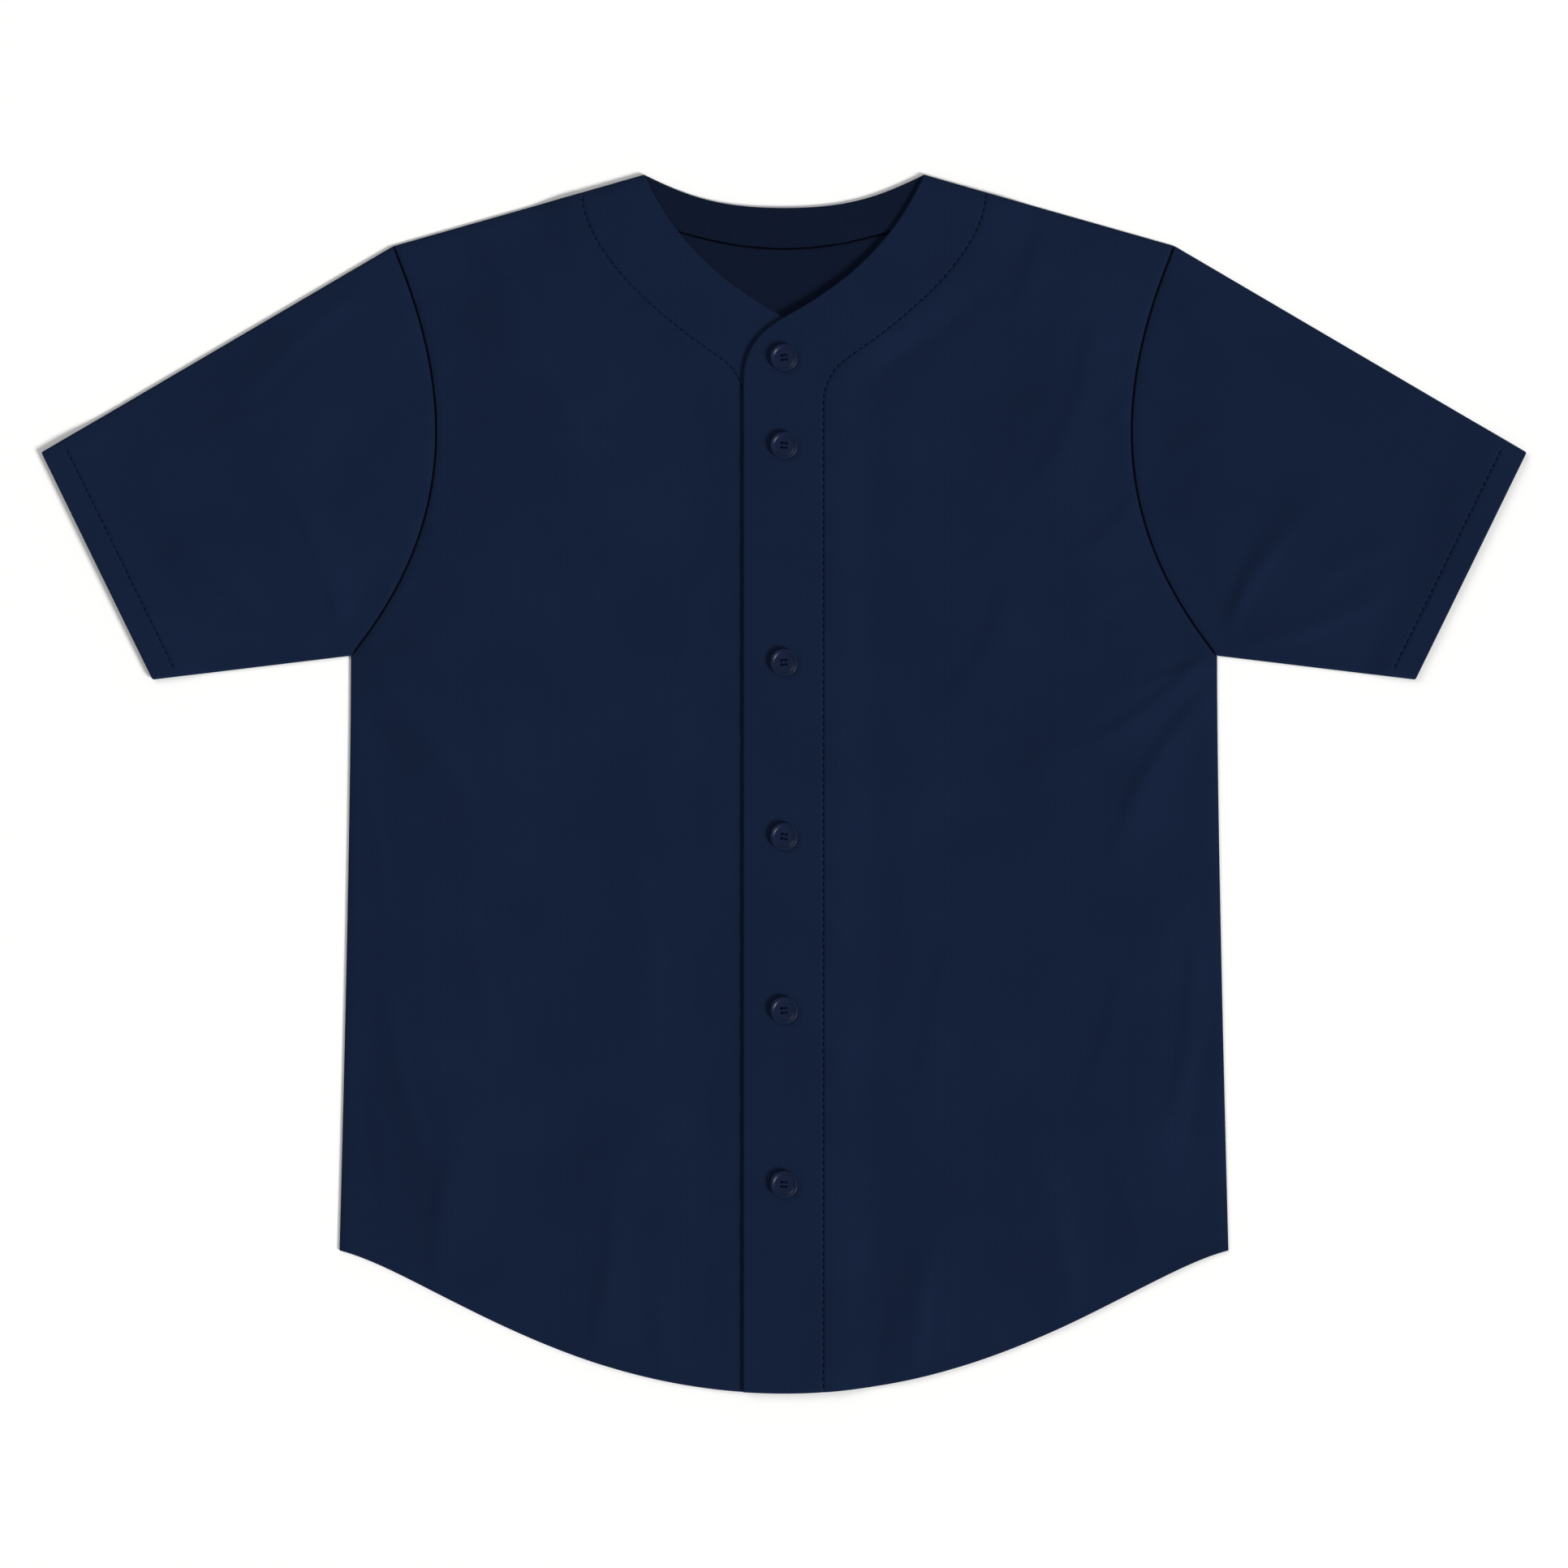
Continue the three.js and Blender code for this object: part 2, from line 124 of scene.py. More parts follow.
# Soft folds: start x, y, end x, y, half width and height of each ridge
FOLDS_LEFT = (
    (268, 96, 176, 18, 19, 1.6),
    (272, 52, 214, -58, 22, 1.3),
    (262, -92, 246, -236, 21, 1.4),
    (186, -362, 160, -232, 24, 1.5),
    (88, -398, 100, -296, 20, 1.1),
    (206, 318, 150, 176, 30, 1.2),
)
FOLDS_RIGHT = (
    (266, 104, 190, 44, 18, 1.5),
    (274, 70, 196, -40, 24, 1.6),
    (256, -130, 222, -262, 24, 1.3),
    (226, -344, 214, -226, 19, 1.3),
    (128, -388, 112, -252, 23, 1.4),
    (188, 300, 128, 206, 28, 1.1),
)
SLEEVE_FOLDS_LEFT = (
    (296, 110, 352, 186, 17, 1.5),
    (312, 92, 404, 128, 15, 1.4),
    (262, 318, 330, 262, 20, 1.3),
)
SLEEVE_FOLDS_RIGHT = (
    (292, 118, 338, 206, 18, 1.5),
    (318, 96, 392, 152, 16, 1.4),
    (276, 326, 362, 248, 22, 1.1),
)

# Sharper creases on and beside the folds: start x, y, end x, y, sideways bow, half width and
# height. A height below 0 is a trough. Each leans to one side, and runs out over these shares
# of its length.
CREASE_LEAN = 0.4
CREASE_START = (-0.04, 0.22)
CREASE_END = (1.04, 0.6)
CREASES_LEFT = (
    (282, 90, 184, 18, 8, 7.0, 1.58),
    (281, 79, 226, 58, -3, 4.5, 0.90),
    (284, 64, 214, -56, -9, 7.5, 1.50),
    (286, 36, 252, -44, 5, 5.5, -0.90),
    (270, -92, 250, -236, 7, 7.0, 1.42),
    (285, -150, 264, -262, -4, 5.5, -0.75),
    (188, -362, 162, -232, -8, 8.0, 1.27),
    (240, -316, 222, -236, 4, 6.0, 0.83),
    (88, -396, 102, -296, 5, 7.0, 1.12),
    (58, -398, 66, -326, -3, 6.0, -0.60),
    (206, 316, 152, 178, 14, 11.0, 1.35),
    (244, 268, 196, 226, 4, 6.0, 0.75),
    (238, 196, 184, 146, 5, 7.0, 0.83),
    (256, 134, 198, 98, -4, 5.5, -0.75),
    (150, 134, 98, 40, 9, 10.0, 0.90),
    (120, -88, 94, -240, -8, 11.0, 0.90),
    (222, -118, 194, -216, 6, 8.0, 0.83),
    (64, -38, 60, -164, 4, 8.0, -0.60),
    (170, 366, 148, 300, 3, 8.0, 0.75),
    (30, 86, 74, 66, 3, 6.0, 0.52),
    (30, -150, 68, -170, -2, 5.5, 0.48),
)
CREASES_RIGHT = (
    (281, 94, 196, 46, 6, 6.5, 1.42),
    (283, 76, 192, -38, -10, 8.0, 1.50),
    (285, 60, 238, 6, 4, 5.0, -0.90),
    (284, 10, 262, -90, -5, 6.0, 0.75),
    (260, -128, 224, -264, 9, 8.0, 1.42),
    (280, -196, 262, -286, 3, 5.5, -0.68),
    (228, -342, 214, -228, -6, 7.0, 1.20),
    (130, -386, 114, -250, 7, 8.0, 1.35),
    (78, -394, 82, -318, -3, 6.5, 0.75),
    (190, 302, 126, 200, -11, 10.0, 1.27),
    (242, 236, 190, 208, 4, 6.0, 0.68),
    (244, 172, 206, 124, -4, 6.0, 0.75),
    (166, 190, 116, 84, -8, 10.0, 0.90),
    (208, -64, 182, -190, 6, 9.0, 0.83),
    (104, -30, 88, -186, -7, 11.0, 0.90),
    (258, 130, 214, 112, 3, 5.0, -0.68),
    (196, 356, 166, 284, -4, 8.0, 0.75),
    (48, 150, 66, 60, 4, 8.0, 0.60),
    (44, -210, 60, -300, -4, 8.0, -0.60),
)
SLEEVE_CREASES_LEFT = (
    (291, 95, 350, 184, 7, 6.5, 1.42),
    (294, 90, 402, 128, -6, 6.5, 1.27),
    (289, 104, 316, 166, 4, 5.0, -0.75),
    (258, 322, 328, 262, -6, 8.0, 1.20),
    (252, 216, 302, 232, 4, 7.0, 0.68),
    (346, 128, 416, 160, 4, 7.0, 0.75),
    (300, 290, 382, 244, 5, 9.0, 0.75),
    (402, 210, 448, 190, -3, 7.0, -0.52),
)
SLEEVE_CREASES_RIGHT = (
    (290, 98, 336, 204, 8, 7.0, 1.42),
    (296, 90, 388, 150, -8, 6.5, 1.35),
    (300, 87, 376, 102, 3, 5.0, 0.83),
    (288, 116, 310, 178, -4, 5.0, -0.75),
    (274, 326, 358, 250, 7, 8.5, 1.20),
    (250, 190, 292, 218, -4, 7.0, 0.68),
    (352, 178, 414, 200, 5, 8.0, 0.75),
    (330, 262, 404, 238, -4, 8.0, -0.52),
)

# Soft creases on the underside, where the cloth stands a little off the surface
CREASES_BACK = (
    (272, 88, 170, 10, 9, 5.0, 1.06),
    (268, 40, 196, -66, -8, 5.6, 0.90),
    (216, 262, 120, 176, 12, 6.8, 0.95),
    (236, 190, 150, 122, -6, 5.6, 0.67),
    (150, 300, 84, 214, -9, 7.4, 0.84),
    (112, 96, 128, -84, 10, 8.1, 0.78),
    (246, -128, 206, -250, 6, 5.6, 0.84),
    (150, -146, 120, -292, -7, 6.8, 0.90),
    (60, 30, -40, -24, 8, 6.2, 0.67),
    (-270, 92, -158, 24, -10, 5.3, 1.01),
    (-272, 54, -214, -72, 7, 5.6, 0.95),
    (-226, 274, -136, 158, -12, 7.4, 0.90),
    (-240, 168, -172, 116, 5, 5.0, 0.73),
    (-128, 262, -70, 206, 6, 6.2, 0.67),
    (-96, 124, -134, -52, -11, 8.1, 0.84),
    (-242, -96, -214, -226, 7, 5.6, 0.90),
    (-176, -178, -140, -300, -5, 6.2, 0.78),
    (-74, -120, -88, -256, 6, 7.4, 0.73),
)
SLEEVE_CREASES_BELOW = (
    (292, 112, 372, 164, 6, 5.0, 0.84),
    (306, 104, 408, 122, -5, 4.7, 0.67),
    (268, 306, 350, 250, -7, 5.6, 0.78),
    (262, 206, 318, 196, 5, 5.0, 0.62),
    (352, 232, 424, 212, 4, 5.6, 0.56),
)
# Where the fronts leave the back room for them: out from the centre, where a share of the room
# is left, and down from the facing
BACK_MIDDLE_ROOM = 0.2
BACK_ROOM = (31.0, 86.0)
BACK_FACING_ROOM = (345.0, 290.0)
# How far the neck facing lies off the back, how much further up from its lower edge, and how
# far that and its gathers reach
FACING_CLEARANCE = 0.08
FACING_CURL = 0.12
FACING_CURL_WIDTH = 8.0
FACING_GATHERS = 5.0

# Along a sleeve: the share of its length over which the loft rises, where the cuff presses it
# flat, where the hem's thickness sets in, and the lower face's room for creases, which is given
# from the armhole, from the sleeve's two edges and from the cuff
SLEEVE_RISE = (0.0, 0.3)
CUFF_PRESS = (60.0, 20.0)
HEM_THICKENS = (CUFF_HEM + 30.0, CUFF_HEM - 2.0)
BELOW_ROOM = ((0.0, 40.0), (0.0, 0.4), (24.0, 64.0))
# Where gathers set in from the cuff and from the edges, where relief sets in from the edges, and
# how deep the hem's stitches draw in the lower face
CUFF_GATHERS = (0.0, 4.0)
EDGE_GATHERS = (0.0, 0.3)
EDGE_RELIEF = (0.0, 0.1)
STITCH_DIP_BELOW = 0.3
# Places at each end of a line across the sleeve that the round of its fold takes up, and the
# points of that round
FOLD_PLACES = 3
FOLD_POINTS = 9

# Each side's sign of x, and what its front and its sleeve are shaped with
SIGN = {"left": 1, "right": -1}
FRONTS = {"left": (OVER_STAND_RISE, FOLDS_LEFT, CREASES_LEFT),
          "right": (UNDER_STAND_RISE, FOLDS_RIGHT, CREASES_RIGHT)}
SLEEVES = {"left": (SLEEVE_FOLDS_LEFT, SLEEVE_CREASES_LEFT),
           "right": (SLEEVE_FOLDS_RIGHT, SLEEVE_CREASES_RIGHT)}

# Slow unevenness of cloth that lies on cloth: wavelength, direction in degrees, phase, height,
# and the share of it on the underside
SWELL = ((168, 12, 0.4, 0.34), (121, 74, 2.1, 0.30), (93, 131, 4.0, 0.22), (64, 38, 1.2, 0.14),
         (47, 102, 5.3, 0.08))
SWELL_BELOW = 0.4
# How softly relief is bent off the layer below, on the upper faces and on the underside
SOFTNESS = 0.09
SOFTNESS_BELOW = 0.02
# Gathers that sewing draws into a seam: wavelength along it, phase, height
PUCKERS = ((34, 0.7, 0.16), (22, 2.9, 0.14), (15, 4.4, 0.09))
# How far the seams and rows of stitches pull the cloth in, and how wide that shows
SEAM_DIP = 0.75
SEAM_WIDTH = 2.2
STITCH_DIP = 0.42
STITCH_WIDTH = 0.9
NECK_POINT_DIP = 0.9
NECK_POINT_WIDTH = 5.0
NECK_POINT_REACH = 30.0
# Where creases and swell set in beside stitches, seams, the shoulder, a hem and a sleeve's folds,
# the last as a share
CLEAR_OF_STITCHES = (2.0, 26.0)
CLEAR_OF_SEAM = (0.5, 9.0)
CLEAR_OF_SHOULDER = (0.5, 18.0)
CLEAR_OF_HEM = (0.0, 30.0)
CLEAR_OF_FOLD = (0.0, 0.16)
# Where gathers set in beside a seam and on the button stand, and how far they reach from
# stitches and seams
GATHERS_FROM_SEAM = (0.5, 5.0)
STAND_GATHERS = (-20.0, -8.0)
STITCH_GATHERS = 8.0
SEAM_GATHERS = 9.0
# The gathers' lines lean over by this share
GATHER_LEAN = 0.4

# Width of a rolled edge: where it is free, at a seam, and all round the back
FREE_ROLL = 1.0
SEAM_ROLL = 0.9
BACK_ROLL = 0.8
# Spacing of the cloth's points across an edge and beside a row of stitches
ROLL = (0.0, 0.05, 0.2, 0.45, 0.8, 1.2, 1.9)
BESIDE = (0.45, 0.95, 1.6, 2.5, 4.0)
# Its points between those: up the side seam, the armhole and the neck, across the button stand
# and a front, across half the back on either side of the neck point, along and across half the
# neck facing, and along a sleeve, across it and along its hem
SIDE_ROWS, ARMHOLE_ROWS, NECK_ROWS = 124, 56, 60
STAND_COLUMNS, FRONT_COLUMNS = 14, 74
NECK_COLUMNS, BACK_COLUMNS = 20, 40
FACING_COLUMNS, FACING_ROWS = 60, 9
SLEEVE_ROWS, SLEEVE_COLUMNS, CUFF_ROWS = 60, 92, 5
# Rough lengths of the body's side, its neck and half the facing. The spacing at an end is a
# share of them.
SIDE_RUN, NECK_RUN, FACING_RUN = 576.0, 150.0, 130.0

# Buttons: every size in millimetres
BUTTON_RADIUS = 9.0
BUTTON_RIM = 2.6
BUTTON_DISH = 1.8
BUTTON_RIM_WIDTH = 1.7
BUTTON_HOLE = 0.9
BUTTON_HOLE_OFFSET = 1.5
HOLE_PLACES = (-BUTTON_HOLE_OFFSET, BUTTON_HOLE_OFFSET)
BUTTON_HEIGHTS = (281.0, 223.1, 80.1, -34.6, -149.2, -263.8)
BUTTON_SOFTENING = 0.45
BUTTON_TURNS = (7, -5, 3, -9, 6, -2)  # degrees, as thread holds them
BUTTON_DISH_SLOPE = 0.8
# Its thread: width, each strand's distance from the pair's middle, its rise over the dish, how
# far it reaches past the holes' middles in all, and how far its ends sink
BUTTON_THREAD = 0.55
BUTTON_THREAD_OFFSET = 0.28
BUTTON_THREAD_RISE = 0.12
BUTTON_THREAD_REACH = 1.1
BUTTON_THREAD_DIP = 0.5
BUTTON_SEAT = FRONT_TOP + OVER_STAND_RISE + GAP
# Points round a button and round a hole
BUTTON_VERTICES, HOLE_VERTICES = 64, 20

# Stitches, as shares of the thread's width: how far their ends sink, how high they lie over
# their groove, and how full their shoulders may be. Then their clearance of the hem and of the
# left front's lap, in millimetres.
STITCH_SINK = 0.4
STITCH_LIFT = 0.3
STITCH_FULLNESS = 1.6
STITCH_ABOVE_HEM = 1.5
STITCH_BELOW_LAP = 4.0

# The near-black yarn at the bottom of the armhole seam's ditch, which is shallower at both ends,
# and over the facing's overlocked edge. Its dark colour is painted shadow of the ditch and the
# edge.
SEAM_SHADOW_THREAD = 2.2
SEAM_BOTTOM = 1.15
SEAM_END_RISE = 0.5
SEAM_END = (0.1, 0.0)
FACING_THREAD = 1.5
FACING_EDGE_MIDDLE = 1.55
THREAD_FLATNESS = 0.7

# Sizes within the finishes: a course of loops against a column, spun fuzz, patches of dye, the
# twist of the plies, tumbling scuffs and the peel of a paint roller
COURSE_SHARE = 0.8
FUZZ = 0.9
DYE_PATCH = 70.0
PLY = 6.0
SCUFF = 0.8
ROLLER_PEEL = 2.5

# The drawing's frame: 1932 pixels at 0.5357 mm each, seen from straight above
FRAME_WIDTH = 1932 * 0.5357 * MM
LENS = 135.0
SENSOR = 36.0
# The surface lies a hair under the cloth, so the two faces don't coincide
FLOOR_SIZE = 80.0
FLOOR_HEIGHT = -0.1 * MM
# A white backdrop that lights the scene only softly: its strength, and what the camera sees more
BACKDROP = 0.3
BACKDROP_SEEN = 0.68
# Each sun's name, place, angle in degrees and strength
LAMPS = (
    ("key", (6.0, -3.8, 4.6), 18.0, 3.38),
    ("fill", (-5.0, 4.0, 5.2), 32.0, 0.89),
)


def linear(code):
    """A colour given as sRGB hex, as Blender's linear numbers."""
    parts = [int(code[i:i + 2], 16) / 255 for i in (1, 3, 5)]
    return [c / 12.92 if c <= 0.04045 else ((c + 0.055) / 1.055) ** 2.4 for c in parts]


class JerseySizes(bpy.types.PropertyGroup):
    stitch_length: FloatProperty(
        name="Stitch length", description="Length of one topstitch that shows",
        default=0.0033, min=0.001, max=0.01, subtype="DISTANCE", unit="LENGTH")
    stitch_gap: FloatProperty(
        name="Stitch gap", description="Cloth that shows between two topstitches",
        default=0.0013, min=0.0002, max=0.01, subtype="DISTANCE", unit="LENGTH")
    thread_width: FloatProperty(
        name="Thread width", description="Width of the sewing thread, drawn a little coarse",
        default=0.0007, min=0.0002, max=0.002, subtype="DISTANCE", unit="LENGTH")
    wale_spacing: FloatProperty(
        name="Wale spacing", description="Width of one column of knit loops, as drawn",
        default=0.0024, min=0.0005, max=0.005, subtype="DISTANCE", unit="LENGTH")
    crease_strength: FloatProperty(
        name="Crease strength", description="Share of the fine creases' height",
        default=1.0, min=0.0, max=2.0, subtype="FACTOR")


class JerseyColours(bpy.types.PropertyGroup):
    cloth: FloatVectorProperty(
        name="Cloth", description="Outer face of the knit", subtype="COLOR",
        default=linear("#152139"))
    # The wrong side's colour, made darker as painted shade of the inside seen through the neck
    inside: FloatVectorProperty(
        name="Inside", description="Wrong side of the knit", subtype="COLOR",
        default=linear("#10182B"))
    thread: FloatVectorProperty(
        name="Thread", description="Thread of the topstitches and buttons", subtype="COLOR",
        default=linear("#041229"))
    # Near black: painted shadow of the armhole seams' ditch and of the facing's edge
    seam_shadow_yarn: FloatVectorProperty(
        name="Seam yarn", description="Yarn in the armhole seams and on the facing's edge",
        subtype="COLOR", default=linear("#010309"))
    button: FloatVectorProperty(
        name="Button", description="Button blanks", subtype="COLOR",
        default=linear("#0A1833"))
    floor: FloatVectorProperty(
        name="Floor", description="Studio surface", subtype="COLOR",
        default=linear("#F9F9F8"))


# Pattern curves

def bezier(controls, t):
    """Points of a Bezier curve at each t."""
    t = np.asarray(t, float)[..., None]
    levels = [np.array(c, float) * np.ones_like(t) for c in controls]
    while len(levels) > 1:
        levels = [a + (b - a) * t for a, b in zip(levels, levels[1:])]
    return levels[0]


def along(path, shares):
    """Points of a finely drawn path at shares of its length."""
    steps = np.hypot(*np.diff(path, axis=0).T)
    lengths = np.concatenate(([0.0], np.cumsum(steps)))
    at = np.asarray(shares) * lengths[-1]
    return np.column_stack([np.interp(at, lengths, path[:, i]) for i in (0, 1)])


def smoothstep(low, high, value):
    """0 up to low, 1 from high on, and smooth between. Low may be the larger one."""
    t = np.clip((np.asarray(value, float) - low) / (high - low), 0.0, 1.0)
    return t * t * (3.0 - 2.0 * t)


def mirrored(half):
    """A path from the centre line outward, with its mirror image before it."""
    return np.vstack([half[:0:-1] * (-1, 1), half])


FINE = np.linspace(0.0, 1.0, 240)
HEM_LINE = bezier(HEM, FINE)
NECK_LINE = bezier(BACK_NECK_EDGE, FINE)
FACING_LINE = bezier(BACK_FACING_EDGE, FINE)
STITCH_TOP = float(bezier(ARMHOLE, [ARMHOLE_SPLIT])[0, 1])
FREE_EDGE = np.vstack([
    [(STAND_EDGE, STITCH_TOP)], bezier(STAND_ROUND, FINE), bezier(NECKLINE, FINE)[1:]])
FACING_STITCH = np.vstack([bezier(STITCH_ROUND, FINE), bezier(STITCH_NECK, FINE)[1:]])


def hem_height(x):
    return np.interp(np.abs(x), HEM_LINE[:, 0], HEM_LINE[:, 1])


def below_shoulder(x, y):
    """Distance of a point under the shoulder seam."""
    dx, dy = np.subtract(SHOULDER_POINT, NECK_POINT)
    length = math.hypot(dx, dy)
    return -(dx * (y - NECK_POINT[1]) - dy * (x - NECK_POINT[0])) / length


# Relief

def hump(away, width):
    """A share that is 1 at a line and falls softly away from it."""
    return np.exp(-((away / width) ** 2))


def ridges(table, x, y):
    """Height of the soft folds, as in the jersey's solids."""
    height = np.zeros_like(x)
    for x0, y0, x1, y1, width, tall in table:
        dx, dy = x1 - x0, y1 - y0
        t = np.clip(((x - x0) * dx + (y - y0) * dy) / (dx * dx + dy * dy), 0.0, 1.0)
        away = np.hypot(x - x0 - t * dx, y - y0 - t * dy)
        height += tall * hump(away, width)
    return height


def creases(table, x, y):
    """Height of bowed creases that run out at both ends and are steeper on one side."""
    height = np.zeros_like(x)
    for x0, y0, x1, y1, bow, width, tall in table:
        dx, dy = x1 - x0, y1 - y0
        length = math.hypot(dx, dy)
        t = ((x - x0) * dx + (y - y0) * dy) / length ** 2
        away = ((y - y0) * dx - (x - x0) * dy) / length - bow * 4.0 * t * (1.0 - t)
        away = away / (width * (1.0 + CREASE_LEAN * np.tanh(away / width)))
        ends = smoothstep(*CREASE_START, t) * smoothstep(*CREASE_END, t)
        height += tall * ends * np.exp(-away ** 2)
    return height


def above(rise, softness):
    """The rise, bent smoothly so that it stays above 0."""
    return 0.5 * (rise + np.sqrt(rise ** 2 + softness))


def swell(x, y):
    height = np.zeros_like(x)
    for wavelength, degrees, phase, tall in SWELL:
        angle = math.radians(degrees)
        across = x * math.cos(angle) + y * math.sin(angle)
        height += tall * np.sin(2 * math.pi * across / wavelength + phase)
    return height


def relief(soft, free, folds, sharp, x, y):
    """Rise of an upper face over flat cloth, which stays at 0: loft and soft folds, and fine
    creases where the cloth is free. It doesn't sink into the layer below."""
    strength = bpy.context.scene.jersey_sizes.crease_strength
    rise = (soft * (LOFT + ridges(folds, x, y))
            + free * strength * (creases(sharp, x, y) + swell(x, y)))
    return above(rise, SOFTNESS) - above(0.0, SOFTNESS)


def lifted(sharp, x, y):
    """How far a layer that lies on the surface stands off it, never below it."""
    return above(creases(sharp, x, y) + SWELL_BELOW * swell(y, x), SOFTNESS_BELOW)


def back_lift(x, y, left):
    """How far the back stands off the surface, where the fronts over it leave it room."""
    room = BACK_MIDDLE_ROOM + (1 - BACK_MIDDLE_ROOM) * smoothstep(*BACK_ROOM, np.abs(x))
    room = room * smoothstep(*BACK_FACING_ROOM, y)
    room = room * smoothstep(0.0, LOFT_EDGE, left) * smoothstep(0.0, LOFT_EDGE, y - hem_height(x))
    room = room * smoothstep(0.0, LOFT_EDGE, below_shoulder(np.abs(x), y))
    return room * lifted(CREASES_BACK, x, y)


def gathers(run, away, reach, shift=0.0):
    """Height of the gathers along a seam or stitches, which fade out away from them."""
    waves = sum(tall * np.sin(2 * math.pi * run / wavelength + phase + shift)
                for wavelength, phase, tall in PUCKERS)
    return waves * np.exp(-np.abs(away) / reach)


def rounded(distance, radius):
    """Share of the wall's thickness near a rolled edge, from 0 at the edge to 1."""
    reach = np.clip(distance / radius, 0.0, 1.0)
    return np.sqrt(1.0 - (1.0 - reach) ** 2)


def closed(share):
    """The share of a sheet's thickness, with none left at its rim."""
    share[0] = share[-1] = 0.0
    share[:, 0] = share[:, -1] = 0.0
    return share


# Grids of points

def spaced(widths, near, far, count):
    """Distances across a strip: near from its start, far from its end, count between."""
    widths = np.asarray(widths, float)[:, None]
    start = np.broadcast_to(np.array(near, float), (len(widths), len(near)))
    end = widths - np.array(far, float)[::-1]
    shares = np.linspace(0.0, 1.0, count + 2)[1:-1]
    middle = start[:, -1:] + (end[:, :1] - start[:, -1:]) * shares
    return np.hstack([start, middle, end])


def rays(start, end, near, far, count):
    """Spaced places on lines from start to end, their distances along them, and the lengths."""
    reach = np.hypot(*(end - start).T)
    out = spaced(reach, near, far, count)
    reach = reach[:, None]
    return start[:, None] + (end - start)[:, None] * (out / reach)[..., None], out, reach


def bowed(places, bow):
    """The places of rows, the lower ones bowed as the hem is."""
    x, y = places[..., 0], places[..., 1]
    return x, y + (hem_height(x) - HEM_CORNER[1]) * bow[:, None]


def side_rows():
    """The body's rows, from hem to shoulder: place on the side seam or armhole, how much the row
    follows the hem's bow, and how far it has turned up the neck."""
    first = np.array(ROLL) / SIDE_RUN
    shares = np.concatenate([first, np.linspace(first[-1], 1.0, SIDE_ROWS)[1:-1]])
    seam = bezier(SIDE_SEAM, 1.0 - shares)
    bow = 1.0 - smoothstep(0.0, 1.0, shares)
    t = np.linspace(0.0, ARMHOLE_SPLIT, ARMHOLE_ROWS)
    last = 1.0 - np.array(ROLL)[::-1] / NECK_RUN
    neck = np.concatenate([np.linspace(0.0, last[0], NECK_ROWS)[1:-1], last])
    armhole = bezier(ARMHOLE, np.concatenate([t, ARMHOLE_SPLIT + (1 - ARMHOLE_SPLIT) * neck]))
    seam = np.vstack([seam, armhole])
    bow = np.concatenate([bow, np.zeros(len(armhole))])
    neck = np.concatenate([np.zeros(len(shares) + len(t)), neck])
    return seam, bow, neck


def quads(grid, turned):
    """Faces between the neighbours in a grid of point numbers."""
    a, b, c, d = grid[:-1, :-1], grid[:-1, 1:], grid[1:, 1:], grid[1:, :-1]
    return np.stack([a, d, c, b] if turned else [a, b, c, d], -1).reshape(-1, 4)


def wrapped(grid):
    """The grid of a tube's point numbers, with its first column again at the end."""
    return np.hstack([grid, grid[:, :1]])


def shell(name, top, bottom, grain, turned, materials, tube=False):
    """Closed cloth of two grids that meet all round, or at both ends of a tube. Its UV map is
    the place seen from above, with the knit's columns turned to lie along y by grain."""
    rows, columns = top.shape[:2]
    free = np.s_[1:-1, :] if tube else np.s_[1:-1, 1:-1]
    over = np.arange(rows * columns).reshape(rows, columns)
    under = over.copy()
    under[free] = rows * columns + np.arange(under[free].size).reshape(under[free].shape)
    points = np.vstack([top.reshape(-1, 3), bottom[free].reshape(-1, 3)])
    if tube:
        over, under = wrapped(over), wrapped(under)
    faces = np.vstack([quads(over, turned), quads(under, not turned)])
    sides = np.repeat((0, 1), len(faces) // 2)
    return make_piece(name, points, faces.tolist(), materials, points[:, :2] @ grain, sides)


def make_piece(name, points, faces, materials, flat=None, sides=None):
    """A smooth mesh object from points in millimetres. Cloth comes with the places in its UV
    map and the material number of each face."""
    mesh = bpy.data.meshes.new(name)
    mesh.from_pydata((points * MM).tolist(), [], faces)
    for material in materials:
        mesh.materials.append(material)
    mesh.polygons.foreach_set("use_smooth", np.ones(len(faces), bool))
    if flat is not None:
        mesh.polygons.foreach_set("material_index", np.asarray(sides, np.int32))
        corners = np.empty(len(mesh.loops), np.int32)
        mesh.loops.foreach_get("vertex_index", corners)
        layer = mesh.uv_layers.new(name="cloth")
        layer.data.foreach_set("uv", (flat[corners] * MM).ravel())
    mesh.update()
    mesh.validate()
    piece = bpy.data.objects.new(name, mesh)
    bpy.context.scene.collection.objects.link(piece)
    return piece


def dress(piece, node):
    """The piece stands for a node of the frame and rides where it does."""
    if node:
        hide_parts(node)
    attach(piece, "root")


# Materials

MATH = "ShaderNodeMath"


def add_node(tree, kind, inputs=(), **settings):
    """Adds a node, sets its properties, and sets or links its inputs, given by name or in
    order. A node among them is linked by its first output."""
    made = tree.nodes.new(kind)
    for key, value in settings.items():
        setattr(made, key, value)
    for socket, value in inputs.items() if isinstance(inputs, dict) else enumerate(inputs):
        value = value.outputs[0] if isinstance(value, bpy.types.Node) else value
        if isinstance(value, bpy.types.NodeSocket):
            tree.links.new(value, made.inputs[socket])
        else:
            made.inputs[socket].default_value = value
    return made


def empty_tree(name):
    """The node tree of a new material."""
    material = bpy.data.materials.new(name)
    material.use_nodes = True
    material.node_tree.nodes.clear()
    return material.node_tree


def surface(tree, inputs):
    """Ends a material's tree with the shader that takes these inputs."""
    shader = add_node(tree, "ShaderNodeBsdfPrincipled", inputs)
    add_node(tree, "ShaderNodeOutputMaterial", (shader,))


